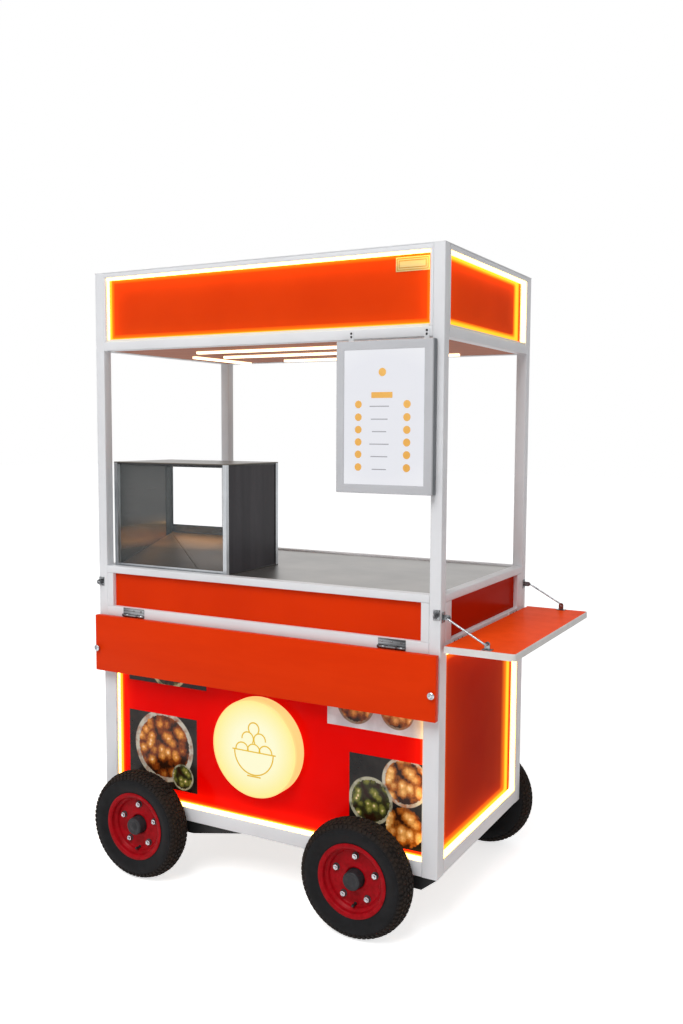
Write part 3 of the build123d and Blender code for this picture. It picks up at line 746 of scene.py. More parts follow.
@dataclass(frozen=True)
class Plywood(Finish):
    """Sealed plywood: pale veneer with long grain under a satin varnish."""

    colour: str = "A98457"
    shade: str = "7E5C38"
    grain_mm: float = 12.0
    grain_share: float = 0.06

    def paint(self, tree: Tree, place: Socket) -> Node:
        """Adds the nodes of the finish.

        Args:
            tree: The material's node tree.
            place: The Object coordinates.

        Returns:
            The shader.
        """
        along = add_node(tree, "Mapping", inputs={
            "Vector": place, "Scale": (self.grain_share, 1.0, 1.0)})
        grain = add_node(tree, "TexNoise", inputs={
            "Vector": along, "Scale": per(self.grain_mm), "Detail": 7.0, "Distortion": 0.6})
        tone = add_node(
            tree, "ValToRGB", {"stops": ((0.3, self.shade), (0.68, self.colour))}, {"Fac": grain})
        bump = add_node(tree, "Bump", inputs={
            "Height": grain, "Strength": 0.15, "Distance": 0.0004})
        return add_node(tree, "BsdfPrincipled", inputs={
            "Base Color": tone, "IOR": 1.5, "Roughness": 0.45, "Normal": bump})


@dataclass(frozen=True)
class Helping:
    """A round bowl of food in a print: its place on the body and its tones, in millimetres."""

    x: float
    z: float
    radius: float
    bite_mm: float
    light: str
    deep: str
    rim: str = ""


@dataclass(frozen=True)
class PrintedFilm(Finish):
    """Printed vinyl film: bowls of fried shells on a plain table, under a gloss laminate."""

    middle_x: float
    table: str
    table_shade: str
    helpings: tuple[Helping, ...]
    cloth_mm: float = 45.0
    shine_mm: float = 30.0
    crust_mm: float = 9.0
    crust_share: float = 0.45
    glass_mm: float = 2.0
    fill: float = 0.86
    heap_mm: Point = (7.0, 5.0)
    ragged_mm: float = 12.0
    lit_crust: str = "FFE3B4"
    burnt_crust: str = "2A140A"

    def paint(self, tree: Tree, place: Socket) -> Node:
        """Adds the nodes of the finish.

        Args:
            tree: The material's node tree.
            place: The Object coordinates.

        Returns:
            The shader.
        """
        cloth = add_node(tree, "TexNoise", inputs={
            "Vector": place, "Scale": per(self.cloth_mm), "Detail": 4.0})
        colour: Source = add_node(
            tree, "ValToRGB", {"stops": ((0.35, self.table_shade), (0.65, self.table))},
            {"Fac": cloth})
        for helping in self.helpings:
            centre = (-self.middle_x - helping.x * MM, 0.0, -helping.z * MM)
            centred = add_node(tree, "Mapping", inputs={
                "Vector": place, "Location": centre, "Scale": (1.0, 0.0, 1.0)})
            away = add_node(tree, "VectorMath", {"operation": "LENGTH"}, {0: centred})
            if helping.rim:
                shine = add_node(tree, "TexNoise", inputs={
                    "Vector": centred, "Scale": per(self.shine_mm)})
                glass = add_node(
                    tree, "ValToRGB", {"stops": ((0.3, helping.deep), (0.55, helping.rim))},
                    {"Fac": shine})
                bowl = add_node(tree, "MapRange", inputs={
                    "Value": away.outputs["Value"], "From Min": helping.radius * MM,
                    "From Max": (helping.radius - self.glass_mm) * MM})
                colour = add_node(tree, "Mix", {"data_type": "RGBA"}, {
                    0: bowl, 6: colour, 7: glass}).outputs[2]
            bites = add_node(tree, "TexVoronoi", {"feature": "SMOOTH_F1"}, {
                "Vector": centred, "Scale": per(helping.bite_mm), "Smoothness": 0.25})
            crust = add_node(tree, "TexNoise", inputs={
                "Vector": centred, "Scale": per(self.crust_mm), "Detail": 3.0})
            rough = add_node(tree, "Math", {"operation": "MULTIPLY_ADD"}, {
                0: crust, 1: self.crust_share, 2: bites})
            food = add_node(tree, "ValToRGB",
                            {"stops": ((0.26, self.lit_crust), (0.42, helping.light),
                                       (0.74, helping.deep), (0.98, self.burnt_crust))},
                            {"Fac": rough})
            filled = helping.radius * (self.fill if helping.rim else 1.0)
            ragged = add_node(tree, "Math", {"operation": "MULTIPLY_ADD"}, {
                0: crust, 1: self.ragged_mm * MM, 2: away.outputs["Value"]})
            inside = add_node(tree, "MapRange", inputs={
                "Value": ragged, "From Min": (filled + self.heap_mm[0]) * MM,
                "From Max": (filled + self.heap_mm[1]) * MM})
            colour = add_node(tree, "Mix", {"data_type": "RGBA"}, {
                0: inside, 6: colour, 7: food}).outputs[2]
        return add_node(tree, "BsdfPrincipled", inputs={
            "Base Color": colour, "IOR": 1.49, "Specular IOR Level": 0.2, "Roughness": 0.2})


@dataclass(frozen=True)
class Palette:
    """The finishes of the whole cart."""

    white: Finish = PowderCoat("white_powder_coat", "DEDFE2", "D6D7DA")
    roof: Finish = PowderCoat("white_roof_coat", "DCDDDF", "D7D8DA", 0.5)
    # The header, side and red sheets carry a painted LED reflection and glow along their edges.
    header: Finish = PaintedLedGlowSheet("orange_header_sheet", "DA3D08", "D23806", 0.1, 0.04,
                                  "header_long_panels", Axis.X, 7.0, 75.0, 1.0, (0.0, 3.0))
    # Painted light: a brighter copy of the header's orange, for the side sheet lit by the LED
    # strip.
    header_side: Finish = PaintedLedGlowSheet("orange_header_side_sheet", "FF4A0E", "F4440B", 0.12, 0.002,
                                       "header_side_panels", Axis.Y, 15.0, 90.0, 2.2,
                                       (-14.0, 4.0))
    # Painted shade: a darker orange than the header's, for the side in shade.
    side: Finish = PaintedLedGlowSheet("orange_side_sheet", "C02A05", "B52404", 0.12, 0.002,
                                "lower_side_panels", Axis.Y, 13.0, 125.0, 2.2, (-14.0, 0.0))
    band: Finish = GlossSheet("orange_band_sheet", "D83202", "D02E02", 0.16, 0.035)
    # Painted shade: a darker copy of the band's orange, for the side in shade.
    band_side: Finish = GlossSheet("orange_band_side_sheet", "BF2A09", "B42508", 0.16, 0.004)
    red: Finish = PaintedLedGlowSheet("red_acrylic_sheet", "E80401", "DC0200", 0.1, 0.03,
                               "lower_front_panel", Axis.X, 8.0, 70.0, glow="C84806",
                               fade="4A1002")
    leaf: Finish = Laminate("orange_laminate", "DC3503", "D63102", streak=7.0, sheen=0.05)
    # Painted light: a brighter copy of the flap's orange, for the shelf's top lit from above.
    shelf: Finish = Laminate("orange_shelf_laminate", "FA5218", "F04A12", 0.32, sheen=0.004)
    edging: Finish = Laminate("white_edge_band", "DCDAD8", "D0CDCA", 0.45)
    header_led: Finish = LedDiffuser("silicone_header_strip", node="header_led_strips",
                                     panel="header_long_panels",
                                     side_panel="header_side_panels", dark_foot_mm=8.0)
    lower_led: Finish = LedDiffuser("silicone_lower_strip", node="lower_led_strips",
                                    panel="lower_front_panel",
                                    side_panel="lower_side_panels")
    lamp: Finish = LedDiffuser("ceiling_led_bar", "FFE4BC", "FFDDAE", 2.4)
    ceiling: Finish = Laminate("brown_melamine_board", "B46A48", "A65E3E", 0.5, streak=8.0,
                               sheen=0.04)
    counter: Finish = BrushedMetal("brushed_stainless_counter", "A19E9A", "8C8987", 0.34,
                                   streak_mm=5.0)
    # Painted shade: a darker stainless for the lid than the counter's.
    case_lid: Finish = BrushedMetal("brushed_stainless_lid", "6C665D", "5A544D", 0.3)
    # Painted shade: a dark stainless for the case's walls; the case and its tray also carry a band
    # of painted warm reflection.
    case_steel: Finish = PaintedReflectionSteel("brushed_stainless_case", "413D3B", "312E2C", 0.22,
                                     (Axis.X, Axis.Y), 9.0, 0.7)
    # Painted shade and painted warm reflection: the tray's brown.
    case_tray: Finish = PaintedReflectionSteel("brushed_stainless_tray", "3A2C22", "2E221A", 0.4,
                                    (Axis.X, Axis.Y), 9.0, 0.6, painted_reflection="DC9A4C")
    aluminium: Finish = BrushedMetal("satin_anodised_aluminium", "BFC2C5", "A5A8AC", 0.34,
                                     (Axis.Z,))
    track: Finish = BrushedMetal("extruded_aluminium_track", "C0C2C4", "A2A4A6", 0.36)
    hinge: Finish = BrushedMetal("bright_steel_hinge", "8E8F92", "38383A", 0.2,
                                 streak_mm=4.0)
    painted_hinge: Finish = PowderCoat("white_hinge_coat", "DEDFE2", "D6D7DA")
    chrome: Finish = Chrome("chrome_plated_steel", "BDC0C4", "8C9096")
    stay: Finish = Chrome("plated_stay_rod", "A2A4A7", "66686C", 0.26)
    zinc: Finish = Chrome("zinc_plated_steel", "8E9092", "4C4D50", 0.24)
    dark_metal: Finish = GlossPaint("black_oxide_steel", "2A2A2C", "1A1A1B", 0.35)
    driver: Finish = BrushedMetal("cast_aluminium_case", "BFC1C4", "A5A8AB", 0.45, (Axis.Y,))
    door: Finish = Laminate("white_laminate_door", "DBDBDA", "D7D7D5", 0.42)
    plywood: Finish = Plywood("sealed_plywood")
    glass: Finish = SheetGlass("clear_float_glass", "E9F0F2", "D8E4E6", 0.04, 0.02, 0.2)
    smoked: Finish = SheetGlass("smoked_float_glass", "413F44", "302E33", 1.0, 0.24, 0.14)
    beam: Finish = GlossPaint("black_chassis_paint", "161616", "0E0E0E", 0.4)
    spindle: Finish = BrushedMetal("turned_axle_steel", "8A8A8B", "6B6B6C", 0.3)
    rubber: Finish = TyreRubber("tyre_rubber")
    stem: Finish = GlossPaint("valve_rubber", "1C1C1D", "111112", 0.5)
    rim: Finish = RimEnamel("red_rim_enamel", "A20D18", "86080F", 0.24, sheen=0.06)
    hub: Finish = GlossPaint("black_hub_paint", "2E2E31", "202022", 0.42, sheen=0.2)
    menu: Finish = PowderCoat("white_menu_coat", "BCBDC1", "B4B5B9")
    # Painted shade: the grey of the tray round the menu box's rear.
    tray: Finish = PowderCoat("grey_painted_shade_coat", "74787C", "686C70")
    brass: Finish = GlossSheet("lacquered_brass_plate", "D6C48E", "CAB67C", 0.25, 0.08)
    gold_line: Finish = GlossSheet("gold_enamel", "B98A38", "A87A2C", 0.3, 0.08)
    amber: Finish = GlossSheet("amber_film", "EDB865", "E2A44C", 0.3, 0.08)
    grey_ink: Finish = GlossSheet("grey_film", "A2A2A8", "8E8E95", 0.3)


FINISH = Palette()


class Shape:
    """A mesh in the making, in metres in the cart's own frame."""

    def __init__(self) -> None:
        """Starts an empty mesh."""
        self.mesh = bmesh.new()

    def bar(self, low: Vector, high: Vector, radius: float = 0.0, along: Axis | None = None,
            segments: int = 3) -> list[bmesh.types.BMFace]:
        """Adds a block with rounded edges.

        Args:
            low: The block's lowest corner.
            high: The block's highest corner.
            radius: The radius of its edges, or zero for sharp ones.
            along: Rounds only the edges along this axis, as a drawn tube has them.
            segments: The number of facets round an edge.

        Returns:
            The block's faces.
        """
        known = set(self.mesh.faces)
        size = Matrix.Diagonal((*(high - low), 1.0))
        matrix = Matrix.Translation((low + high) / 2) @ size
        verts = bmesh.ops.create_cube(self.mesh, size=1.0, matrix=matrix)["verts"]
        edges = once(edge for vert in verts for edge in vert.link_edges)
        if along is not None:
            edges = [edge for edge in edges
                     if abs((edge.verts[1].co - edge.verts[0].co).normalized()[along.value]) > 0.9]
        if radius:
            rounded = bmesh.ops.bevel(self.mesh, geom=edges, offset=radius,
                                      offset_type="OFFSET", segments=segments, profile=0.5,
                                      affect="EDGES", material=-1)
            for face in rounded["faces"]:
                face.smooth = True
        return [face for face in self.mesh.faces if face not in known]

    def turned(self, profile: Sequence[Point], centre: Vector, axis: Vector, steps: int,
               closed: bool = False, angle: float = math.tau) -> None:
        """Adds a shape turned about a level axis.

        Args:
            profile: Points of the section in millimetres: out along the axis, and radius.
            centre: The point on the axis that the profile is measured from.
            axis: The direction of the axis.
            steps: The number of facets round the axis.
            closed: Joins the profile's last point to its first.
            angle: How far the section turns.
        """
        known = set(self.mesh.faces)
        verts = [self.mesh.verts.new(centre + axis * (out * MM) + UP * (reach * MM))
                 for out, reach in profile]
        pairs = list(zip(verts, verts[1:]))
        if closed:
            pairs.append((verts[-1], verts[0]))
        edges = [self.mesh.edges.new(pair) for pair in pairs]
        bmesh.ops.spin(self.mesh, geom=verts + edges, cent=centre, axis=axis, angle=angle,
                       steps=steps, use_merge=angle == math.tau)
        made = [face for face in self.mesh.faces if face not in known]
        loose = once(vert for face in made for vert in face.verts)
        bmesh.ops.remove_doubles(self.mesh, verts=loose, dist=NEAR)
        made = [face for face in self.mesh.faces if face not in known]
        bmesh.ops.recalc_face_normals(self.mesh, faces=made)
        for face in made:
            face.smooth = True

    def prism(self, sides: int, radius: float, depth: float, centre: Vector, axis: Vector,
              bevel: float = 0.0) -> None:
        """Adds a prism that stands on a point, such as a nut, a washer or a stud.

        Args:
            sides: The number of its sides.
            radius: Its radius in millimetres.
            depth: Its height in millimetres.
            centre: The middle of its foot.
            axis: The direction in which it stands.
            bevel: The rounding of its upper edges in millimetres.
        """
        turn = axis.to_track_quat("Z", "Y").to_matrix().to_4x4()
        matrix = Matrix.Translation(centre + axis * (depth * MM / 2)) @ turn
        verts = bmesh.ops.create_cone(self.mesh, cap_ends=True, segments=sides,
                                      radius1=radius * MM, radius2=radius * MM,
                                      depth=depth * MM, matrix=matrix)["verts"]
        if bevel:
            middle = centre + axis * (depth * MM / 2)
            crown = [edge for edge in once(e for v in verts for e in v.link_edges)
                     if all((vert.co - middle).dot(axis) > 0 for vert in edge.verts)]
            bmesh.ops.bevel(self.mesh, geom=crown, offset=bevel * MM, offset_type="OFFSET",
                            segments=2, profile=0.5, affect="EDGES", material=-1)

    def screw(self, foot: Vector, axis: Vector, radius: float) -> None:
        """Adds a domed screw head with a socket in it.

        Args:
            foot: The point where the head meets its plate.
            axis: The direction in which the head stands.
            radius: The head's radius in millimetres.
        """
        section = ((0.0, radius), (radius * 0.3, radius * 0.94), (radius * 0.52, radius * 0.7),
                   (radius * 0.6, radius * 0.42), (radius * 0.3, radius * 0.36),
                   (radius * 0.3, 0.0))
        self.turned(section, foot, axis, 10)

    def place(self, name: str, finish: Finish, slot: str, body: str = "cart",
              stands_for: Iterable[str] = (), crease: float = 38.0) -> Piece:
        """Makes the mesh a piece of the cart.

        Args:
            name: The piece's name.
            finish: Its material.
            slot: The record's slot that the finish belongs to; it is not used.
            body: The body that it rides on.
            stands_for: The CAD nodes that it is shown in place of.
            crease: The angle in degrees over which an edge is sharp.

        Returns:
            The piece.
        """
        data = bpy.data.meshes.new(name)
        self.mesh.to_mesh(data)
        self.mesh.free()
        data.set_sharp_from_angle(angle=math.radians(crease))
        data.materials.append(finish.material())
        piece = bpy.data.objects.new(name, data)
        bpy.context.scene.collection.objects.link(piece)
        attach(piece, body)
        names = tuple(stands_for)
        if names:
            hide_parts(*names)
        return piece


@dataclass(frozen=True)
class Layout:
    """Where the cart's main pieces are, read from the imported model."""

    middle_x: float

    def at(self, x: float, y: float, z: float) -> Vector:
        """Turns millimetres from the body's middle and the floor into a place."""
        return Vector((self.middle_x + x * MM, y * MM, z * MM))


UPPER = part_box("upper_posts")
LAYOUT = Layout((UPPER[0].x + UPPER[1].x) / 2)


@dataclass
class TubeFrame:
    """The welded frame of square tube, with its drawn corners."""

    upper_post: float = 36.0
    lower_post: float = 50.0
    setback: float = 2.0
    corner: float = 2.6
    stile_corner: float = 1.56

    def posts(self, node: str, size: float) -> Piece:
        """Builds four corner posts.

        Args:
            node: The CAD node that they stand for.
            size: The tube's width in millimetres.

        Returns:
            The piece.
        """
        low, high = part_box(node)
        shape = Shape()
        width = size * MM
        for x in (low.x, high.x - width):
            for y in (low.y, high.y - width):
                shape.bar(Vector((x, y, low.z)), Vector((x + width, y + width, high.z)),
                          self.corner * MM, Axis.Z)
        return shape.place(f"{node}_tube", FINISH.white, "frame_white", stands_for=(node,))

    def ring(self, shape: Shape, box: tuple[Vector, Vector], post: float, low_z: float,
             high_z: float, sides: bool = True) -> None:
        """Adds rails between corner posts.

        Args:
            shape: The mesh that takes them.
            box: The plan limits of the posts.
            post: The posts' width in millimetres.
            low_z: The rails' underside.
            high_z: The rails' top.
            sides: Adds the two side rails to the front and back ones.
        """
        low, high = box
        width = post * MM
        depth = (post - self.setback) * MM
        for y in (low.y, high.y - depth):
            shape.bar(Vector((low.x + width, y, low_z)),
                      Vector((high.x - width, y + depth, high_z)), self.corner * MM, Axis.X)
        if sides:
            for x in (low.x, high.x - depth):
                shape.bar(Vector((x, low.y + width, low_z)),
                          Vector((x + depth, high.y - width, high_z)), self.corner * MM, Axis.Y)

    def rails(self, node: str, opening: str, posts: str, post: float,
              sides: bool = True) -> Piece:
        """Builds the rails below and above an opening.

        Args:
            node: The CAD node that they stand for.
            opening: The panel node that fills the opening between them.
            posts: The posts' CAD node.
            post: The posts' width in millimetres.
            sides: Whether there are side rails above the opening.

        Returns:
            The piece.
        """
        shape = Shape()
        low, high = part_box(node)
        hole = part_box(opening)
        self.ring(shape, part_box(posts), post, low.z, hole[0].z)
        self.ring(shape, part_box(posts), post, hole[1].z, high.z, sides)
        return shape.place(f"{node}_tube", FINISH.white, "frame_white", stands_for=(node,))

    def stiles(self, node: str, long_panel: str, side_panel: str) -> Piece:
        """Builds the short uprights beside the posts.

        Args:
            node: The CAD node that they stand for.
            long_panel: The panel node on the long sides.
            side_panel: The panel node on the short sides.

        Returns:
            The piece.
        """
        low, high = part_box("upper_posts")
        long_low, long_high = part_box(long_panel)
        side_low, side_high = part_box(side_panel)
        width = self.upper_post * MM
        depth = (self.upper_post - self.setback) * MM
        z = (long_low.z, long_high.z)
        shape = Shape()
        for y in (low.y, high.y - depth):
            for x in ((low.x + width, long_low.x), (long_high.x, high.x - width)):
                shape.bar(Vector((x[0], y, z[0])), Vector((x[1], y + depth, z[1])),
                          self.stile_corner * MM, Axis.Z)
        for x in (low.x, high.x - depth):
            for y in ((low.y + width, side_low.y), (side_high.y, high.y - width)):
                shape.bar(Vector((x, y[0], z[0])), Vector((x + depth, y[1], z[1])),
                          self.stile_corner * MM, Axis.Z)
        return shape.place(f"{node}_tube", FINISH.white, "frame_white", stands_for=(node,))

    def build(self) -> list[Piece]:
        """Builds every tube of the frame.

        Returns:
            The pieces.
        """
        return [
            self.posts("lower_posts", self.lower_post),
            self.posts("upper_posts", self.upper_post),
            self.rails("lower_rails", "lower_front_panel", "lower_posts", self.lower_post, False),
            self.rails("counter_rails", "band_long_panels", "upper_posts", self.upper_post),
            self.rails("header_rails", "header_long_panels", "upper_posts", self.upper_post),
            self.stiles("band_stiles", "band_long_panels", "band_side_panels"),
            self.stiles("header_stiles", "header_long_panels", "header_side_panels"),
        ]


@dataclass
class Cladding:
    """The coloured panels with their lights, prints and plate, and the roof and ceiling."""

    plate_x: Point = (480.5, 586.5)
    plate_z: Point = (1979.0, 2020.0)
    plate_sheet: float = 1.6
    plate_lines: Point = (3.5, 9.5)
    plate_line: float = 2.2
    plate_edge: float = 0.5
    enamel: float = 0.3
    film: float = 0.5
    film_edge: float = 0.2

    def plate(self) -> list[Piece]:
        """Builds the small bare plate on the header, with two enamel lines round its edge.

        Returns:
            The pieces.
        """
        face_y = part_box("header_long_panels")[0].y / MM
        low = LAYOUT.at(self.plate_x[0], face_y - self.plate_sheet, self.plate_z[0])
        high = LAYOUT.at(self.plate_x[1], face_y, self.plate_z[1])
        shape = Shape()
        shape.bar(low, high, self.plate_edge * MM, segments=2)
        lines = Shape()
        for inset in self.plate_lines:
            left, right = low.x + inset * MM, high.x - inset * MM
            foot, head = low.z + inset * MM, high.z - inset * MM
            width = self.plate_line * MM
            depth = (low.y - self.enamel * MM, low.y)
            for z in (foot, head - width):
                lines.bar(Vector((left, depth[0], z)), Vector((right, depth[1], z + width)))
            for x in (left, right - width):
                lines.bar(Vector((x, depth[0], foot + width)),
                          Vector((x + width, depth[1], head - width)))
        return [
            shape.place("header_plate", FINISH.brass, "fitting_chrome"),
            lines.place("header_plate_lines", FINISH.gold_line, "fitting_chrome"),
        ]

    def lay_film(self, name: str, x: Point, z: Point, finish: Finish) -> Piece:
        """Lays one printed film on the lower front panel.

        Args:
            name: The piece's name.
            x: The film's limits across the body, in millimetres.
            z: The film's limits above the floor, in millimetres.
            finish: The printed film.

        Returns:
            The piece.
        """
        face_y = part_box("lower_front_panel")[0].y / MM
        shape = Shape()
        shape.bar(LAYOUT.at(x[0], face_y - self.film, z[0]), LAYOUT.at(x[1], face_y, z[1]),
                  self.film_edge * MM, segments=1)
        return shape.place(name, finish, "panel_red")

    def prints(self) -> list[Piece]:
        """Builds the four food prints of the front.

        Returns:
            The pieces.
        """
        middle = LAYOUT.middle_x
        golden = ("E79A42", "8A3F12")
        pale = ("F0B566", "A85A1C")
        leafy = ("8C8A3E", "33361C")
        upper_left = PrintedFilm("print_upper_left", middle, "241C19", "120E0D", (
            Helping(-372.0, 722.0, 84.0, 26.0, *leafy, rim="C9C79A"),
            Helping(-490.0, 778.0, 48.0, 22.0, *golden, rim="B9B4A4"),
        ))
        lower_left = PrintedFilm("print_lower_left", middle, "2B2320", "15100F", (
            Helping(-396.0, 434.0, 126.0, 34.0, *golden, rim="BDB9AC"),
            Helping(-316.0, 338.0, 46.0, 24.0, *leafy, rim="A9A68E"),
        ))
        upper_right = PrintedFilm("print_upper_right", middle, "DCD8DC", "C4BEC2", (
            Helping(350.0, 690.0, 66.0, 30.0, *golden, rim="8C7A66"),
            Helping(492.0, 684.0, 58.0, 28.0, *pale, rim="8C7A66"),
        ))
        lower_right = PrintedFilm("print_lower_right", middle, "262220", "121010", (
            Helping(520.0, 470.0, 78.0, 31.0, *pale, rim="BEB8A8"),
            Helping(404.0, 392.0, 76.0, 27.0, *leafy, rim="B2AE98"),
            Helping(520.0, 330.0, 62.0, 33.0, *pale),
        ))
        return [
            self.lay_film("film_upper_left", (-546.0, -214.0), (652.0, 815.0), upper_left),
            self.lay_film("film_lower_left", (-547.0, -255.0), (290.0, 546.0), lower_left),
            self.lay_film("film_upper_right", (251.0, 578.0), (612.0, 815.0), upper_right),
            self.lay_film("film_lower_right", (330.0, 582.0), (265.0, 534.0), lower_right),
        ]

    def build(self) -> list[Piece]:
        """Dresses the panels and builds what is fixed to them.

        Returns:
            The pieces.
        """
        return [
            *FINISH.header.dress("header_long_panels"),
            *FINISH.header_side.dress("header_side_panels"),
            *FINISH.side.dress("lower_side_panels"),
            *FINISH.band.dress("band_long_panels"),
            *FINISH.band_side.dress("band_side_panels"),
            *FINISH.red.dress("lower_front_panel"),
            *FINISH.header_led.dress("header_led_strips"),
            *FINISH.lower_led.dress("lower_led_strips"),
            *FINISH.lamp.dress("ceiling_lights"),
            *FINISH.ceiling.dress("ceiling_panel"),
            *FINISH.roof.dress("roof_sheet"),
            *FINISH.driver.dress("led_driver"),
            *self.plate(),
            *self.prints(),
        ]


@dataclass
class Cabinet:
    """The steel counter, the cabinet floor and the sliding doors at the back."""

    cup: float = 12.0
    cup_wall: float = 1.6
    cup_lip: float = 3.0
    cup_draft: Triple = (-0.4, -0.1, -0.8)
    cup_facets: int = 32
    pull_inset: float = 60.0
    pull_half: float = 33.0

    def pull(self, node: str, body: str, left: bool) -> Piece:
        """Builds the pressed rim round a door's finger pull.

        Args:
            node: The door's CAD node.
            body: The body that the door is.
            left: Whether the pull is near the door's left end.

        Returns:
            The piece.
        """
        low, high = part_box(node)
        inset = self.pull_inset * MM
        x = low.x + inset if left else high.x - inset
        middle = Vector((x, high.y, (low.z + high.z) / 2))
        half = UP * self.pull_half * MM
        shape = Shape()
        outer = self.cup + self.cup_lip
        foot, head, rim = self.cup_draft
        section = ((0.0, self.cup + foot), (self.cup_wall, self.cup + head),
                   (self.cup_wall, outer + rim), (0.0, outer))
        shape.turned(section, middle, BACKWARD, self.cup_facets, closed=True)
        for vert in shape.mesh.verts:
            vert.co += half if vert.co.z > middle.z + NEAR else -half
        bmesh.ops.recalc_face_normals(shape.mesh, faces=shape.mesh.faces)
        return shape.place(f"{node}_pull", FINISH.aluminium, "track_aluminium", body)

    def build(self) -> list[Piece]:
        """Dresses the counter and the cabinet and builds the door pulls.

        Returns:
            The pieces.
        """
        return [
            *FINISH.counter.dress("countertop"),
            *FINISH.plywood.dress("cabinet_floor"),
            *FINISH.track.dress("door_tracks"),
            *FINISH.door.dress("rear_door_left", "rear_door_right"),
            self.pull("rear_door_left", "left_door", True),
            self.pull("rear_door_right", "right_door", False),
        ]


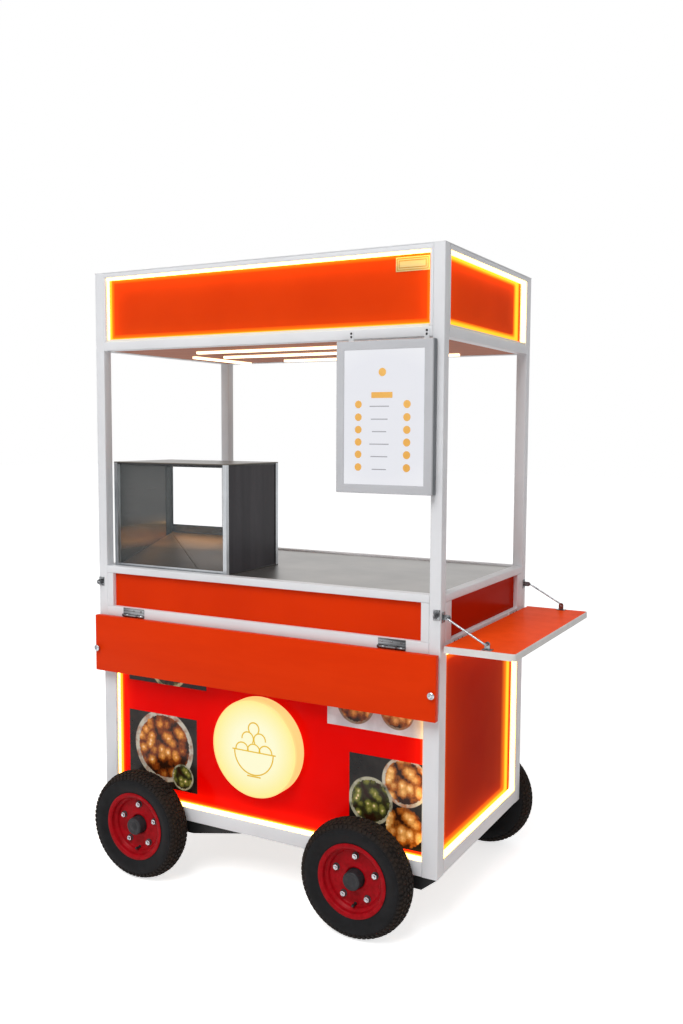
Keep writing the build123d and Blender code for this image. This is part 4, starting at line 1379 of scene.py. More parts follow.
@dataclass
class DropLeaves:
    """The hanging front flap and the raised side shelf, with hinges, stays and eyes."""

    edge: float = 1.4
    band: float = 2.5
    corner: float = 12.0
    hinge_x: float = 490.0
    hinge_y: float = 250.0
    hinge_z: float = 887.0
    screw_rise: float = 16.0
    screw_pitch: float = 32.0
    screw: float = 3.4
    plate: float = 2.0
    front_eye: Point = (632.0, 996.0)
    side_eye: Point = (364.0, 988.0)
    eye_rise: float = 11.5
    eye_screw: float = 2.8
    knob_facets: int = 24
    knob_inset: float = 11.0
    # Each point is a share of the knob's depth, and a radius.
    knob_section: tuple[Point, ...] = (
        (0.0, 7.0), (0.4, 6.2), (0.48, 9.6), (0.62, 11.0), (0.8, 10.6), (0.95, 8.2), (1.0, 4.6),
        (0.72, 3.8), (0.72, 0.0),
    )

    def flap(self) -> Piece:
        """Builds the flap's board.

        Returns:
            The piece.
        """
        low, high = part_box("front_flap")
        shape = Shape()
        shape.bar(low, high, self.edge * MM)
        return shape.place("flap_board", FINISH.leaf, "leaf_orange", "flap", ("front_flap",))

    def outline(self, node: str, corner: float) -> Shape:
        """Draws a shelf outline with its two outer corners rounded.

        Args:
            node: The CAD node whose plan is drawn.
            corner: The corners' radius in millimetres.

        Returns:
            A shape with one flat face at the node's underside.
        """
        low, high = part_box(node)
        shape = Shape()
        verts = [shape.mesh.verts.new((x, y, low.z))
                 for x, y in ((low.x, low.y), (high.x, low.y), (high.x, high.y), (low.x, high.y))]
        shape.mesh.faces.new(verts)
        bmesh.ops.bevel(shape.mesh, geom=verts[1:3], offset=corner * MM, offset_type="OFFSET",
                        segments=6, profile=0.5, affect="VERTICES", material=-1)
        return shape

    def shelf(self) -> Piece:
        """Builds the shelf's board.

        Returns:
            The piece.
        """
        low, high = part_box("side_shelf")
        shape = self.outline("side_shelf", self.corner - self.band)
        made = bmesh.ops.extrude_face_region(shape.mesh, geom=list(shape.mesh.faces))
        verts = [item for item in made["geom"] if isinstance(item, bmesh.types.BMVert)]
        bmesh.ops.translate(shape.mesh, verts=verts, vec=(0.0, 0.0, high.z - low.z))
        bmesh.ops.recalc_face_normals(shape.mesh, faces=shape.mesh.faces)
        return shape.place("shelf_board", FINISH.shelf, "leaf_orange", "shelf", ("side_shelf",))

    def edge_band(self) -> Piece:
        """Builds the white edge band on the shelf's three free edges.

        Returns:
            The piece.
        """
        low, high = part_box("shelf_edging")
        shape = self.outline("shelf_edging", self.corner)
        bmesh.ops.delete(shape.mesh, geom=list(shape.mesh.faces), context="FACES_ONLY")
        root = [edge for edge in shape.mesh.edges
                if all(abs(vert.co.x - low.x) < NEAR for vert in edge.verts)]
        bmesh.ops.delete(shape.mesh, geom=root, context="EDGES")
        made = bmesh.ops.extrude_edge_only(shape.mesh, edges=list(shape.mesh.edges))
        verts = [item for item in made["geom"] if isinstance(item, bmesh.types.BMVert)]
        bmesh.ops.translate(shape.mesh, verts=verts, vec=(0.0, 0.0, high.z - low.z))
        bmesh.ops.recalc_face_normals(shape.mesh, faces=shape.mesh.faces)
        outer = max(shape.mesh.faces, key=lambda face: face.calc_center_median().x)
        if outer.normal.x < 0:
            bmesh.ops.reverse_faces(shape.mesh, faces=shape.mesh.faces)
        bmesh.ops.solidify(shape.mesh, geom=list(shape.mesh.faces), thickness=self.band * MM)
        bmesh.ops.recalc_face_normals(shape.mesh, faces=shape.mesh.faces)
        for face in shape.mesh.faces:
            face.smooth = True
        return shape.place("shelf_edge_band", FINISH.edging, "edging_white", "shelf",
                           ("shelf_edging",))

    def knobs(self) -> Piece:
        """Builds the turned end knobs of the flap.

        Returns:
            The piece.
        """
        low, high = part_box("flap_knobs")
        shape = Shape()
        depth = (high.y - low.y) / MM
        section = [(depth * share, reach) for share, reach in self.knob_section]
        inset = self.knob_inset * MM
        for x in (low.x + inset, high.x - inset):
            shape.turned(section, Vector((x, high.y, (low.z + high.z) / 2)), FORWARD,
                         self.knob_facets)
        return shape.place("flap_knob_heads", FINISH.chrome, "fitting_chrome", "flap",
                           ("flap_knobs",))

    def screws(self) -> Piece:
        """Builds the screws of the fixed hinge plates and of the eye plates on the posts.

        Returns:
            The piece.
        """
        shape = Shape()
        low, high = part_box("upper_posts")
        front = low.y / MM - self.plate
        right = (high.x - LAYOUT.middle_x) / MM + self.plate
        height = self.hinge_z + self.screw_rise
        for side in (-1.0, 1.0):
            for row in (-self.screw_pitch, 0.0, self.screw_pitch):
                shape.screw(
                    LAYOUT.at(side * self.hinge_x + row, front, height), FORWARD, self.screw)
                shape.screw(
                    LAYOUT.at(right, side * self.hinge_y + row, height), RIGHT, self.screw)
            for rise in (-self.eye_rise, self.eye_rise):
                shape.screw(LAYOUT.at(side * self.front_eye[0], front, self.front_eye[1] + rise),
                            FORWARD, self.eye_screw)
                shape.screw(LAYOUT.at(right, side * self.side_eye[0], self.side_eye[1] + rise),
                            RIGHT, self.eye_screw)
        return shape.place("frame_screws", FINISH.zinc, "hinge_steel")

    def plates(self) -> list[Piece]:
        """Parts the fixed hinge plates: bright ones at the flap, painted ones at the shelf.

        Returns:
            The pieces.
        """
        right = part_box("upper_posts")[1].x
        pieces = []
        for name, finish, at_shelf in (("flap_hinge_plates", FINISH.hinge, False),
                                       ("shelf_hinge_plates", FINISH.painted_hinge, True)):
            shape = Shape()
            shape.mesh.from_mesh(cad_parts["drop_leaf_hinges"].data)
            bmesh.ops.remove_doubles(shape.mesh, verts=shape.mesh.verts, dist=NEAR)
            others = [vert for vert in shape.mesh.verts
                      if (vert.co.x > right - NEAR) is not at_shelf]
            bmesh.ops.delete(shape.mesh, geom=others, context="VERTS")
            pieces.append(shape.place(name, finish, "hinge_steel",
                                      stands_for=("drop_leaf_hinges",)))
        return pieces

    def build(self) -> list[Piece]:
        """Builds the boards and dresses their fittings.

        Returns:
            The pieces.
        """
        return [
            self.flap(),
            self.shelf(),
            self.edge_band(),
            self.knobs(),
            self.screws(),
            *self.plates(),
            *FINISH.hinge.dress("flap_leaves"),
            *FINISH.painted_hinge.dress("shelf_leaves"),
            *FINISH.stay.dress("front_stay", "rear_stay"),
            *FINISH.zinc.dress("stay_brackets", "shelf_eyes"),
        ]


@dataclass
class MenuBox:
    """The lit menu box, with plain amber marks and grey dashes in place of any words."""

    edge: float = 2.2
    bezel: float = 23.0
    bezel_draft: float = 0.8
    lip: float = 2.0
    shade_tray_depth: float = 23.0
    shade_tray_proud: float = 0.5
    film: float = 0.4
    head_disc: Triple = (466.0, 1691.0, 12.0)
    head_bar_x: Point = (431.0, 499.0)
    head_bar_z: Point = (1617.0, 1634.0)
    head_bar_edge: float = 2.0
    dot_rows: tuple[float, ...] = (1599.0, 1562.0, 1526.0, 1490.0, 1454.0, 1417.0)
    dot_columns: Point = (389.0, 545.0)
    dot_radius: float = 11.5
    dot_sides: tuple[int, int] = (9, 28)
    dash_x: float = 457.0
    dash_half: float = 31.0
    dash_step: float = 4.0
    dash_cycle: int = 3
    dash_z: Point = (-7.0, -4.4)
    screw_inset: float = 8.0
    screw_drops: Point = (6.0, 16.0)
    screw: float = 3.6

    def case(self) -> Piece:
        """Builds the box with the bezel round its screen.

        Returns:
            The piece.
        """
        low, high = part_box("menu_case")
        shape = Shape()
        shape.bar(low, high, self.edge * MM)
        front = min(shape.mesh.faces, key=lambda face: face.calc_center_median().y)
        bmesh.ops.inset_region(shape.mesh, faces=[front], thickness=self.bezel * MM,
                               depth=0.0, use_even_offset=True)
        bmesh.ops.inset_region(shape.mesh, faces=[front], thickness=self.bezel_draft * MM,
                               depth=-self.lip * MM, use_even_offset=True)
        bmesh.ops.delete(shape.mesh, geom=[front], context="FACES")
        return shape.place("menu_box", FINISH.menu, "menu_white", stands_for=("menu_case",))

    def tray(self) -> Piece:
        """Builds the grey tray that closes the box from behind; its grey is painted shade on the
        rear of the box's sides.

        Returns:
            The piece.
        """
        low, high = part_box("menu_case")
        proud = Vector((self.shade_tray_proud, 0.0, self.shade_tray_proud)) * MM
        low.y = high.y - self.shade_tray_depth * MM
        high.y += self.shade_tray_proud * MM
        shape = Shape()
        shape.bar(low - proud, high + proud, self.edge * MM)
        return shape.place("menu_painted_shade_tray", FINISH.tray, "menu_white")

    def marks(self) -> list[Piece]:
        """Builds the amber marks and the grey dashes on the screen.

        Returns:
            The pieces.
        """
        face_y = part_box("menu_screen")[0].y / MM
        amber = Shape()
        grey = Shape()
        front_y = face_y - self.film
        x, z, radius = self.head_disc
        amber.prism(self.dot_sides[1], radius, self.film, LAYOUT.at(x, face_y, z), FORWARD)
        amber.bar(LAYOUT.at(self.head_bar_x[0], front_y, self.head_bar_z[0]),
                  LAYOUT.at(self.head_bar_x[1], face_y, self.head_bar_z[1]),
                  self.head_bar_edge * MM, Axis.Y)
        for row, z in enumerate(self.dot_rows):
            for sides, x in zip(self.dot_sides, self.dot_columns):
                amber.prism(sides, self.dot_radius, self.film, LAYOUT.at(x, face_y, z), FORWARD)
            width = self.dash_half - self.dash_step * (row % self.dash_cycle)
            grey.bar(LAYOUT.at(self.dash_x - width, front_y, z + self.dash_z[0]),
                     LAYOUT.at(self.dash_x + width, face_y, z + self.dash_z[1]))
        return [
            amber.place("menu_amber_marks", FINISH.amber, "menu_lit"),
            grey.place("menu_grey_dashes", FINISH.grey_ink, "menu_lit"),
        ]

    def screws(self) -> Piece:
        """Builds the dark screws that fix the hanger plates to the header rail.

        Returns:
            The piece.
        """
        low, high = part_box("menu_hooks")
        shape = Shape()
        inset = self.screw_inset * MM
        for x in (low.x + inset, high.x - inset):
            for drop in self.screw_drops:
                shape.screw(Vector((x, low.y, high.z - drop * MM)), FORWARD, self.screw)
        return shape.place("menu_hanger_screws", FINISH.dark_metal, "hook_white")

    def build(self) -> list[Piece]:
        """Builds the box and dresses its screen and hangers.

        Returns:
            The pieces.
        """
        low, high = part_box("menu_screen")
        lit = LitAcrylic("lit_opal_acrylic", tuple((low + high) / 2), 300.0, "EDEEF3", "FFFFFF",
                         0.62, "8C8D92")
        return [
            self.case(),
            self.tray(),
            *lit.dress("menu_screen"),
            *FINISH.white.dress("menu_hooks"),
            *self.marks(),
            self.screws(),
        ]


@dataclass
class RoundSign:
    """The lit drum on the front panel, with a plain drawing of a bowl and shells."""

    edge: float = 4.0
    wall: float = 3.0
    wall_draft: float = 0.6
    gap: float = 0.4
    sheet: float = 3.0
    crown: float = 2.0
    facets: int = 96
    crease: float = 50.0
    line: float = 4.2
    line_edge: float = 0.4
    facet_turn: float = 7.0
    film: float = 1.7
    bowl: float = 74.0
    brim: float = 9.0
    foot: float = 26.0
    foot_drop: float = 5.0
    rim_z: float = -12.0
    # Each shell is an arc: across, up, radius, start and sweep.
    shells: tuple[tuple[float, float, float, float, float], ...] = (
        (-45.0, -8.0, 24.0, 270.0, 180.0), (0.0, -8.0, 24.0, 270.0, 180.0),
        (45.0, -8.0, 24.0, 270.0, 180.0), (-23.0, 31.0, 22.0, 236.0, 220.0),
        (23.0, 31.0, 22.0, 264.0, 220.0), (0.0, 66.0, 20.0, 232.0, 256.0),
    )

    def drum(self, back: Vector, radius: float, depth: float) -> Piece:
        """Builds the drum's opal wall.

        Args:
            back: The middle of the drum's back.
            radius: The drum's radius in millimetres.
            depth: The drum's depth in millimetres.

        Returns:
            The piece.
        """
        shape = Shape()
        wall = ((0.0, radius - self.wall), (0.0, radius), (depth - self.edge, radius),
                (depth - self.edge * 0.3, radius - self.edge * 0.3), (depth, radius - self.edge),
                (depth - self.edge, radius - self.edge - self.wall_draft))
        shape.turned(wall, back, FORWARD, self.facets, closed=True)
        lit = LitAcrylic("lit_amber_acrylic", tuple(back), radius * 1.05, "FFE596", "FFD988", 0.82,
                         "8A7148")
        return shape.place("sign_wall", lit, "sign_ivory", stands_for=("sign_drum",),
                           crease=self.crease)

    def face(self, back: Vector, radius: float, depth: float) -> Piece:
        """Builds the drum's gently crowned face.

        Args:
            back: The middle of the drum's back.
            radius: The drum's radius in millimetres.
            depth: The drum's depth in millimetres.

        Returns:
            The piece.
        """
        shape = Shape()
        rim = radius - self.edge - self.gap
        front = depth - self.crown
        dome = ((front - self.sheet, rim), (front, rim), (front + self.crown * 0.5, rim * 0.72),
                (front + self.crown * 0.9, rim * 0.36), (depth, 0.0))
        shape.turned(dome, back, FORWARD, self.facets)
        lit = LitAcrylic("lit_ivory_acrylic", tuple(back), radius * 1.03, "FFFDDA", "FFF08C", 0.82,
                         "6E6A48")
        return shape.place("sign_front", lit, "sign_ivory", stands_for=("sign_face",),
                           crease=self.crease)

    def arc(self, shape: Shape, back: Vector, depth: float, place: Point, radius: float,
            start: float, sweep: float) -> None:
        """Adds one drawn arc to the face.

        Args:
            shape: The mesh that takes it.
            back: The middle of the drum's back.
            depth: How far in front of the back it lies, in millimetres.
            place: The arc's middle across and up from the drum's middle, in millimetres.
            radius: The arc's radius in millimetres.
            start: Where it starts, in degrees from straight up.
            sweep: How far it runs, in degrees.
        """
        known = set(shape.mesh.verts)
        middle = back + Vector((place[0] * MM, 0.0, place[1] * MM))
        half = self.line / 2
        ring = ((depth, radius - half), (depth, radius + half), (depth + self.film, radius + half),
                (depth + self.film, radius - half))
        shape.turned(ring, middle, FORWARD, int(sweep / self.facet_turn), closed=True,
                     angle=math.radians(sweep))
        new = [vert for vert in shape.mesh.verts if vert not in known]
        ends = [edge for edge in once(e for v in new for e in v.link_edges) if edge.is_boundary]
        bmesh.ops.holes_fill(shape.mesh, edges=ends, sides=4)
        turn = Matrix.Rotation(math.radians(start), 3, FORWARD)
        bmesh.ops.rotate(shape.mesh, verts=new, cent=middle, matrix=turn)

    def drawing(self, back: Vector, depth: float) -> Piece:
        """Builds the thin raised drawing on the face.

        Args:
            back: The middle of the drum's back.
            depth: The drum's depth in millimetres.

        Returns:
            The piece.
        """
        shape = Shape()
        front = depth - self.crown * 0.6
        half = self.line / 2
        self.arc(shape, back, front, (0.0, self.rim_z), self.bowl, 90.0, 180.0)
        bars = ((self.bowl + self.brim, self.rim_z + half),
                (self.foot, self.rim_z - self.bowl - self.foot_drop))
        for reach, z in bars:
            low = back + Vector((-reach, -front - self.film, z - half)) * MM
            high = back + Vector((reach, -front, z + half)) * MM
            shape.bar(low, high, self.line_edge * MM, segments=1)
        for x, z, radius, start, sweep in self.shells:
            self.arc(shape, back, front, (x, z), radius, start, sweep)
        bmesh.ops.recalc_face_normals(shape.mesh, faces=shape.mesh.faces)
        lit = LitAcrylic("lit_yellow_film", tuple(back), 120.0, "F8CF3C", "F2C22C", 0.7, "6A5216")
        return shape.place("sign_drawing", lit, "sign_ivory")

    def build(self) -> list[Piece]:
        """Builds the sign.

        Returns:
            The pieces.
        """
        low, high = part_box("sign_drum")
        back = Vector(((low.x + high.x) / 2, high.y, (low.z + high.z) / 2))
        radius, depth = (high.x - low.x) / 2 / MM, (high.y - low.y) / MM
        return [self.drum(back, radius, depth), self.face(back, radius, depth),
                self.drawing(back, depth)]


@dataclass
class DisplayCase:
    """The steel and glass case on the counter."""

    sill: float = 10.0
    sill_y: Point = (0.5, 2.0)
    sill_edge: float = 0.5
    trim: float = 5.0
    foot_trim: float = 3.0
    seal: float = 1.6
    thin_seal: float = 1.5
    seal_edge: float = 0.4
    channel_y: Point = (34.0, 2.0)
    channel: float = 2.0
    hatch_x: Point = (6.0, 248.0)
    hatch_z: Point = (1165.0, 1390.0)
    wall: float = 3.0
    post: float = 14.0
    tray_sheet: float = 1.2
    tray_gap: float = 2.4
    tray_rise: float = 88.0
    rib_reach: float = 0.78
    rib_width: float = 11.0
    rib_height: float = 4.0

    def trims(self) -> Piece:
        """Builds the bright sill of the front glass.

        Returns:
            The piece.
        """
        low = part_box("case_body")[0]
        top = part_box("case_top")[1]
        shape = Shape()
        post = self.post * MM
        left, right = low.x + post, top.x - post
        foot = low.z + self.wall * MM
        front, back = (low.y + y * MM for y in self.sill_y)
        shape.bar(Vector((left, front, foot)), Vector((right, back, foot + self.sill * MM)),
                  self.sill_edge * MM, segments=2)
        return shape.place("case_sill", FINISH.aluminium, "case_aluminium")

    def tray(self) -> Piece:
        """Builds the sheet tray that slopes up to the rear hatch, with a rib across its corner.

        Returns:
            The piece.
        """
        low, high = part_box("case_body")
        foot = low.z + self.wall * MM
        left = low.x + (self.wall + self.tray_gap) * MM
        right = high.x - self.post * MM
        front = low.y + self.post * MM
        back = high.y - self.wall * MM
        shape = Shape()
        sheet = Vector((0.0, 0.0, self.tray_sheet * MM))
        shape.bar(Vector((left, front, foot)), Vector((right, back, foot)) + sheet)
        across = (right - left) * self.rib_reach
        length = math.hypot(across, back - front) - self.post * MM
        middle = Vector(((left + left + across) / 2, (front + back) / 2, foot))
        half = Vector((self.rib_width / 2 * MM, length / 2, 0.0))
        rib = shape.bar(middle - half + sheet / 2,
                        middle + half + Vector((0.0, 0.0, self.rib_height * MM)),
                        self.rib_height * 0.6 * MM, Axis.Y, 4)
        turn = Matrix.Rotation(math.atan2(across, back - front), 3, "Z")
        bmesh.ops.rotate(shape.mesh, verts=once(vert for face in rib for vert in face.verts),
                         cent=middle, matrix=turn)
        for vert in shape.mesh.verts:
            vert.co.z += self.tray_rise * MM * (vert.co.y - front) / (back - front)
        return shape.place("case_tray", FINISH.case_tray, "case_steel")

    def seals(self) -> Piece:
        """Builds the dark seal strips of the side glass and round the rear hatch.

        Returns:
            The piece.
        """
        low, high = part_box("case_side_glass")
        body_low, body_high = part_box("case_body")
        front_low, front_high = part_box("case_front_glass")
        face = high.x + self.seal * MM
        width = self.trim * MM
        left = body_low.x + self.wall * MM
        back = body_high.y - self.wall * MM
        thin = self.thin_seal * MM
        x0, x1 = (body_low.x + x * MM for x in self.hatch_x)
        z0, z1 = (z * MM for z in self.hatch_z)
        channel = [back - y * MM for y in self.channel_y]
        strips = [
            ((high.x, high.y - width, low.z), (face, high.y, high.z)),
            ((high.x, low.y, high.z - width), (face, high.y - width, high.z)),
            ((high.x, low.y, low.z), (face, high.y - width, low.z + self.foot_trim * MM)),
            ((left, channel[0], low.z), (left + self.channel * MM, channel[1], high.z)),
            ((front_low.x, front_low.y - thin, front_high.z - width),
             (front_high.x, front_low.y, front_high.z)),
            *(((x, back - thin, z0), (x + width, back, z1)) for x in (x0, x1 - width)),
            *(((x0 + width, back - thin, z), (x1 - width, back, z + width))
              for z in (z0, z1 - width)),
        ]
        shape = Shape()
        for first, last in strips:
            shape.bar(Vector(first), Vector(last), self.seal_edge * MM, segments=2)
        return shape.place("case_seals", FINISH.dark_metal, "smoked_glass")

    def build(self) -> list[Piece]:
        """Dresses the case and builds its trims.

        Returns:
            The pieces.
        """
        return [
            *FINISH.case_steel.dress("case_body"),
            *FINISH.case_lid.dress("case_top"),
            *FINISH.aluminium.dress("case_posts"),
            *FINISH.glass.dress("case_front_glass"),
            *FINISH.smoked.dress("case_side_glass"),
            self.trims(),
            self.tray(),
            self.seals(),
        ]


@dataclass(frozen=True)
class LugRow:
    """A ring of tread lugs on one half of the tyre, in millimetres, degrees and lug pitches."""

    out: float
    reach: float
    lean: float
    size: Triple
    phase: float
    skew: float


@dataclass
class Wheel:
    """One barrow wheel: a treaded tyre on a red pressed rim with five nuts and a black hub."""

    corner: Corner
    tyre_facets: int = 96
    rim_facets: int = 72
    hub_facets: int = 40
    crease: float = 46.0
    lugs: int = 66
    lug_taper: float = 0.2
    lug_rows: tuple[LugRow, ...] = (
        LugRow(36.8, 166.6, 50.0, (9.6, 13.0, 5.4), 0.0, 14.0),
        LugRow(27.2, 174.0, 22.0, (11.4, 9.2, 5.2), 0.5, -18.0),
        LugRow(16.4, 178.0, 12.0, (11.0, 8.6, 5.0), 0.1, 20.0),
        LugRow(5.6, 180.4, 0.0, (12.6, 8.4, 5.0), 0.35, 16.8),
    )
    dust_from: float = 157.0
    dust_over: float = 12.0
    nut_circle: float = 69.0
    nut_count: int = 5
    nut_foot: float = 4.2
    # Each fastener has a radius, a height and the rounding of its upper edges.
    washer: Triple = (11.5, 1.6, 0.4)
    nut: Triple = (9.2, 8.0, 1.0)
    stud: Triple = (4.8, 4.5, 0.8)
    valve_drop: float = 80.0
    valve_foot: float = 3.0
    valve_facets: int = 16
    valve_section: tuple[Point, ...] = (
        (0.0, 5.4), (3.0, 5.2), (5.0, 3.6), (14.0, 3.4), (14.4, 4.2), (22.0, 4.0), (23.0, 3.0),
        (23.0, 0.0),
    )
    sidewall: tuple[Point, ...] = (
        (30.0, 102.5), (30.8, 112.0), (34.4, 120.5), (38.8, 130.0), (41.7, 139.0), (42.4, 147.0),
        (41.9, 153.5), (41.3, 156.6), (40.0, 157.6), (38.9, 162.0), (35.2, 167.6), (30.0, 171.4),
        (21.4, 175.0), (10.7, 177.9), (0.0, 178.8),
    )
    rim_section: tuple[Point, ...] = (
        (0.0, 30.5), (4.0, 30.5), (7.6, 33.0), (8.2, 36.0), (7.8, 41.0), (4.9, 48.0), (4.3, 56.0),
        (4.3, 80.0), (5.2, 84.0), (8.0, 86.8), (13.0, 87.6), (16.6, 89.6), (19.2, 96.4),
        (21.0, 98.2), (31.0, 98.8), (33.4, 100.4), (34.8, 107.0), (35.0, 112.6), (34.2, 114.6),
        (32.4, 114.7), (31.4, 112.0), (30.0, 101.6), (18.0, 101.6), (14.0, 91.0), (-14.0, 91.0),
        (-18.0, 101.6), (-30.0, 101.6), (-31.5, 114.7), (-34.5, 114.7), (-33.0, 98.6),
        (-19.5, 98.6), (-15.5, 88.0), (0.0, 88.0),
    )
    hub_section: tuple[Point, ...] = (
        (-36.0, 12.6), (-36.0, 28.0), (-35.0, 29.0), (-6.0, 29.0), (-6.0, 48.0), (0.0, 48.0),
        (0.0, 29.0), (32.4, 29.0), (35.6, 27.6), (37.4, 24.6), (37.8, 21.0), (37.0, 19.6),
        (37.0, 13.0), (38.0, 11.4), (38.0, 0.0), (32.0, 0.0), (32.0, 12.6),
    )
    centre: Vector = field(init=False)

    def __post_init__(self) -> None:
        """Finds the middle of the wheel."""
        low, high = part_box(f"{self.name}_tyre")
        self.centre = (low + high) / 2

    @property
    def name(self) -> str:
        """Gives the wheel's name, which its pieces start with."""
        return self.corner.value

    @property
    def body(self) -> str:
        """Gives the body that the wheel's pieces ride on."""
        return f"{self.name}_wheel"

    def lug_ring(self, shape: Shape, row: LugRow, side: float) -> None:
        """Adds one ring of tread lugs.

        Args:
            shape: The mesh that takes them.
            row: The lugs' place, lean, size, phase and skew.
            side: One for the tyre's outer half, and minus one for the inner half.
        """
        known = set(shape.mesh.verts)
        out = self.corner.outward
        along = out.cross(UP)
        tilt = math.radians(side * row.lean)
        stand = UP * math.cos(tilt) + out * math.sin(tilt)
        across = stand.cross(along)
        turn = math.radians(side * row.skew)
        first = along * math.cos(turn) + across * math.sin(turn)
        axes = (first, stand.cross(first), stand)
        basis = Matrix([axis * length * MM for axis, length in zip(axes, row.size)])
        middle = self.centre + out * (side * row.out * MM) + UP * (row.reach * MM)
        matrix = Matrix.Translation(middle) @ basis.transposed().to_4x4()
        verts = bmesh.ops.create_cube(shape.mesh, size=1.0, matrix=matrix)["verts"]
        top = [vert for vert in verts if (vert.co - middle).dot(stand) > 0]
        for vert in top:
            away = vert.co - middle
            vert.co -= (away - stand * away.dot(stand)) * self.lug_taper
        bottom = [face for face in once(f for v in verts for f in v.link_faces)
                  if all((vert.co - middle).dot(stand) < 0 for vert in face.verts)]
        bmesh.ops.delete(shape.mesh, geom=bottom, context="FACES_ONLY")
        pitch = math.tau / self.lugs
        start = Matrix.Rotation(row.phase * pitch, 3, out)
        bmesh.ops.rotate(shape.mesh, verts=verts, cent=self.centre, matrix=start)
        lug = [item for vert in verts for item in (*vert.link_edges, *vert.link_faces)]
        bmesh.ops.spin(shape.mesh, geom=once([*verts, *lug]), cent=self.centre,
                       axis=out, angle=math.tau - pitch, steps=self.lugs - 1, use_duplicate=True)
        made = [face for face in shape.mesh.faces if face.verts[0] not in known]
        bmesh.ops.recalc_face_normals(shape.mesh, faces=made)

    def tyre(self) -> Piece:
        """Builds the tyre, with the dust of its tread kept as an attribute.

        Returns:
            The piece.
        """
        shape = Shape()
        out = self.corner.outward
        inner = [(-place, reach) for place, reach in reversed(self.sidewall[:-1])]
        shape.turned((*self.sidewall, *inner), self.centre, out, self.tyre_facets, closed=True)
        for side in (-1.0, 1.0):
            for row in self.lug_rows:
                self.lug_ring(shape, row, side)
        dust = shape.mesh.verts.layers.float.new("dust")
        for vert in shape.mesh.verts:
            away = vert.co - self.centre
            reach = (away - out * away.dot(out)).length / MM
            vert[dust] = min(1.0, max(0.0, (reach - self.dust_from) / self.dust_over))
        return shape.place(f"{self.name}_tread", FINISH.rubber, "tyre_black", self.body,
                           (f"{self.name}_tyre",))

    def rim(self) -> Piece:
        """Builds the pressed rim.

        Returns:
            The piece.
        """
        shape = Shape()
        shape.turned(
            self.rim_section, self.centre, self.corner.outward, self.rim_facets, closed=True)
        return shape.place(f"{self.name}_disc", FINISH.rim, "rim_red", self.body,
                           (f"{self.name}_rim",), crease=self.crease)

    def hub(self) -> Piece:
        """Builds the hub with its cap.

        Returns:
            The piece.
        """
        shape = Shape()
        shape.turned(
            self.hub_section, self.centre, self.corner.outward, self.hub_facets, closed=True)
        return shape.place(f"{self.name}_cap", FINISH.hub, "hub_black", self.body,
                           (f"{self.name}_hub",), crease=self.crease)

    def nuts(self) -> list[Piece]:
        """Builds the wheel nuts on their dark washers.

        Returns:
            The pieces.
        """
        bright = Shape()
        dark = Shape()
        out = self.corner.outward
        for number in range(self.nut_count):
            turn = Matrix.Rotation(number * math.tau / self.nut_count, 3, out)
            foot = self.centre + turn @ UP * (self.nut_circle * MM) + out * (self.nut_foot * MM)
            for shape, sides, (radius, height, bevel) in ((dark, 20, self.washer),
                                                          (bright, 6, self.nut),
                                                          (bright, 14, self.stud)):
                shape.prism(sides, radius, height, foot, out, bevel)
                foot = foot + out * (height * MM)
        return [
            bright.place(f"{self.name}_nuts", FINISH.chrome, "fitting_chrome", self.body),
            dark.place(f"{self.name}_washers", FINISH.dark_metal, "hub_black", self.body),
        ]

    def valve(self) -> Piece:
        """Builds the valve stem and its cap, low on the disc.

        Returns:
            The piece.
        """
        shape = Shape()
        out = self.corner.outward
        foot = self.centre - UP * (self.valve_drop * MM) + out * (self.valve_foot * MM)
        shape.turned(self.valve_section, foot, out, self.valve_facets)
        return shape.place(f"{self.name}_valve", FINISH.stem, "hub_black", self.body)

    def build(self) -> list[Piece]:
        """Builds the wheel."""
        return [self.tyre(), self.rim(), self.hub(), *self.nuts(), self.valve()]


@dataclass
class RunningGear:
    """The beams and stub axles under the body, with the four wheels."""

    wheels: list[Wheel] = field(default_factory=lambda: [Wheel(corner) for corner in Corner])

    def build(self) -> list[Piece]:
        """Dresses the beams and axles and builds the wheels.

        Returns:
            The pieces.
        """
        pieces = [*FINISH.beam.dress("axle_beams"), *FINISH.spindle.dress("spindles")]
        for wheel in self.wheels:
            pieces.extend(wheel.build())
        return pieces


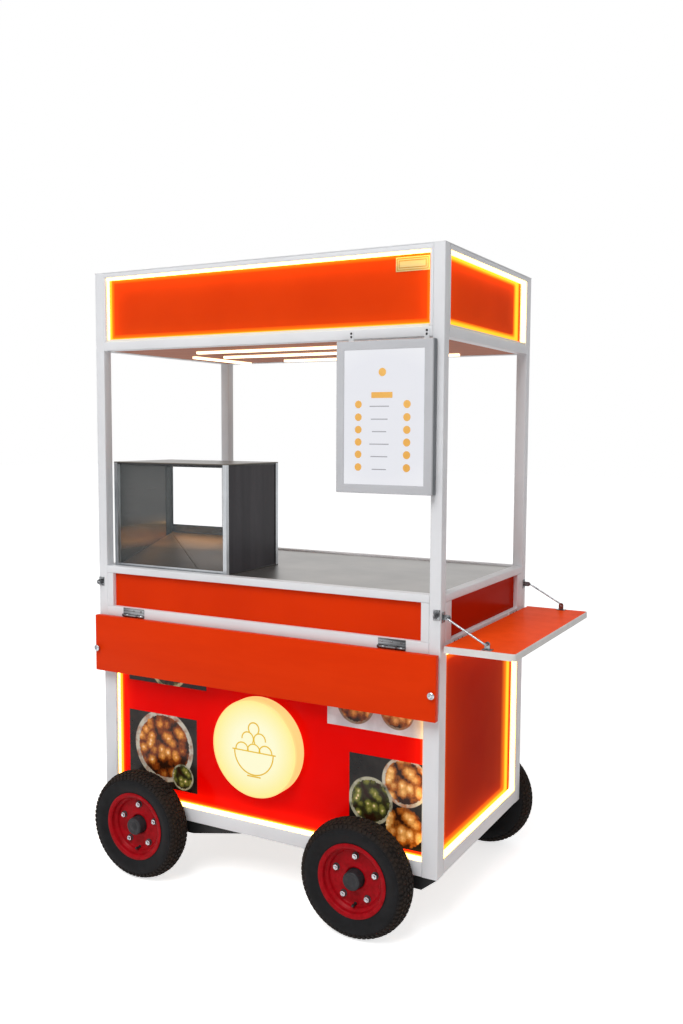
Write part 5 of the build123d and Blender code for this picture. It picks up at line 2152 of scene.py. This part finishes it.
@dataclass
class Studio:
    """A pale floor, soft light and the camera of the photograph."""

    camera_place: Triple = (1.62147, -2.96664, 1.52253)
    yaw: float = 0.5011
    pitch: float = 0.0823
    roll: float = 0.0051
    focal_px: float = 985.416
    frame_px: float = 1024.0
    sensor_mm: float = 36.0
    ambient: float = 0.38
    key_watts: float = 815.0
    key_size: float = 6.0
    key_place: Triple = (0.6, -7.65, 9.1)
    key_aim: Triple = (-0.1, 0.0, 1.0)
    floor_size: float = 30.0
    floor_lift: float = 0.7

    def camera(self) -> None:
        """Sets the camera where the photograph was taken."""
        data = bpy.data.cameras.new("photo_camera")
        data.sensor_width = self.sensor_mm
        data.lens = self.focal_px / self.frame_px * self.sensor_mm
        ahead = Vector((-math.sin(self.yaw) * math.cos(self.pitch),
                        math.cos(self.yaw) * math.cos(self.pitch), -math.sin(self.pitch)))
        level = Vector((math.cos(self.yaw), math.sin(self.yaw), 0.0))
        upright = level.cross(ahead)
        right = level * math.cos(self.roll) + upright * math.sin(self.roll)
        up = upright * math.cos(self.roll) - level * math.sin(self.roll)
        matrix = Matrix((right, up, -ahead)).transposed().to_4x4()
        matrix.translation = Vector(self.camera_place)
        camera = bpy.data.objects.new("photo_camera", data)
        camera.matrix_world = matrix
        bpy.context.scene.collection.objects.link(camera)
        bpy.context.scene.camera = camera

    def seen(self, tree: Tree) -> Node:
        """Gives one for rays from the eye, from shiny faces and through glass.

        Args:
            tree: The node tree that takes the test.

        Returns:
            The node that tests a ray.
        """
        path = add_node(tree, "LightPath")
        mirror = add_node(tree, "Math", {"operation": "MAXIMUM"}, {
            0: path.outputs["Is Camera Ray"], 1: path.outputs["Is Glossy Ray"]})
        return add_node(tree, "Math", {"operation": "MAXIMUM"}, {
            0: mirror, 1: path.outputs["Is Transmission Ray"]})

    def world(self) -> None:
        """Makes a white surround that lights the cart at a plain level."""
        world = bpy.data.worlds.new("white_surround")
        world.use_nodes = True
        tree = world.node_tree
        tree.nodes.clear()
        strength = add_node(tree, "MapRange", inputs={
            "Value": self.seen(tree), "To Min": self.ambient, "To Max": 1.0})
        sky = add_node(tree, "Background", inputs={"Color": "FFFFFF", "Strength": strength})
        add_node(tree, "OutputWorld", inputs={"Surface": sky})
        bpy.context.scene.world = world

    def floor(self) -> None:
        """Lays a wide pale floor that keeps the cart's shadow."""
        material = bpy.data.materials.new("pale_floor")
        material.use_nodes = True
        tree = material.node_tree
        tree.nodes.clear()
        paint = add_node(tree, "BsdfDiffuse", inputs={"Color": "F4F4F4"})
        lift = add_node(tree, "Math", {"operation": "MULTIPLY"}, {
            0: self.seen(tree), 1: self.floor_lift})
        glow = add_node(tree, "Emission", inputs={"Color": "FFFFFF", "Strength": lift})
        both = add_node(tree, "AddShader", inputs={0: paint, 1: glow})
        add_node(tree, "OutputMaterial", inputs={"Surface": both})
        mesh = bmesh.new()
        bmesh.ops.create_grid(mesh, x_segments=1, y_segments=1, size=self.floor_size)
        data = bpy.data.meshes.new("floor")
        mesh.to_mesh(data)
        mesh.free()
        data.materials.append(material)
        floor = bpy.data.objects.new("floor", data)
        bpy.context.scene.collection.objects.link(floor)

    def lamp(self) -> None:
        """Hangs one soft area lamp that faces the cart."""
        data = bpy.data.lights.new("front_softbox", "AREA")
        data.energy = self.key_watts
        data.size = self.key_size
        lamp = bpy.data.objects.new("front_softbox", data)
        lamp.location = self.key_place
        aim = Vector(self.key_aim) - Vector(self.key_place)
        lamp.rotation_euler = aim.to_track_quat("-Z", "Y").to_euler()
        bpy.context.scene.collection.objects.link(lamp)

    def build(self) -> None:
        """Sets up the whole studio."""
        bpy.context.scene.view_settings.view_transform = "Standard"
        self.camera()
        self.world()
        self.floor()
        self.lamp()


def main() -> None:
    """Builds the cart's sub-assemblies in order and reports each piece."""
    logging.basicConfig(level=logging.INFO, format="%(name)s: %(message)s")
    Studio().build()
    for assembly in (TubeFrame(), Cladding(), Cabinet(), DropLeaves(), MenuBox(), RoundSign(),
                     DisplayCase(), RunningGear()):
        for piece in assembly.build():
            LOG.info("%s: %s, %d faces", type(assembly).__name__, piece.name,
                     len(piece.data.polygons))


if __name__ == "__main__":
    main()
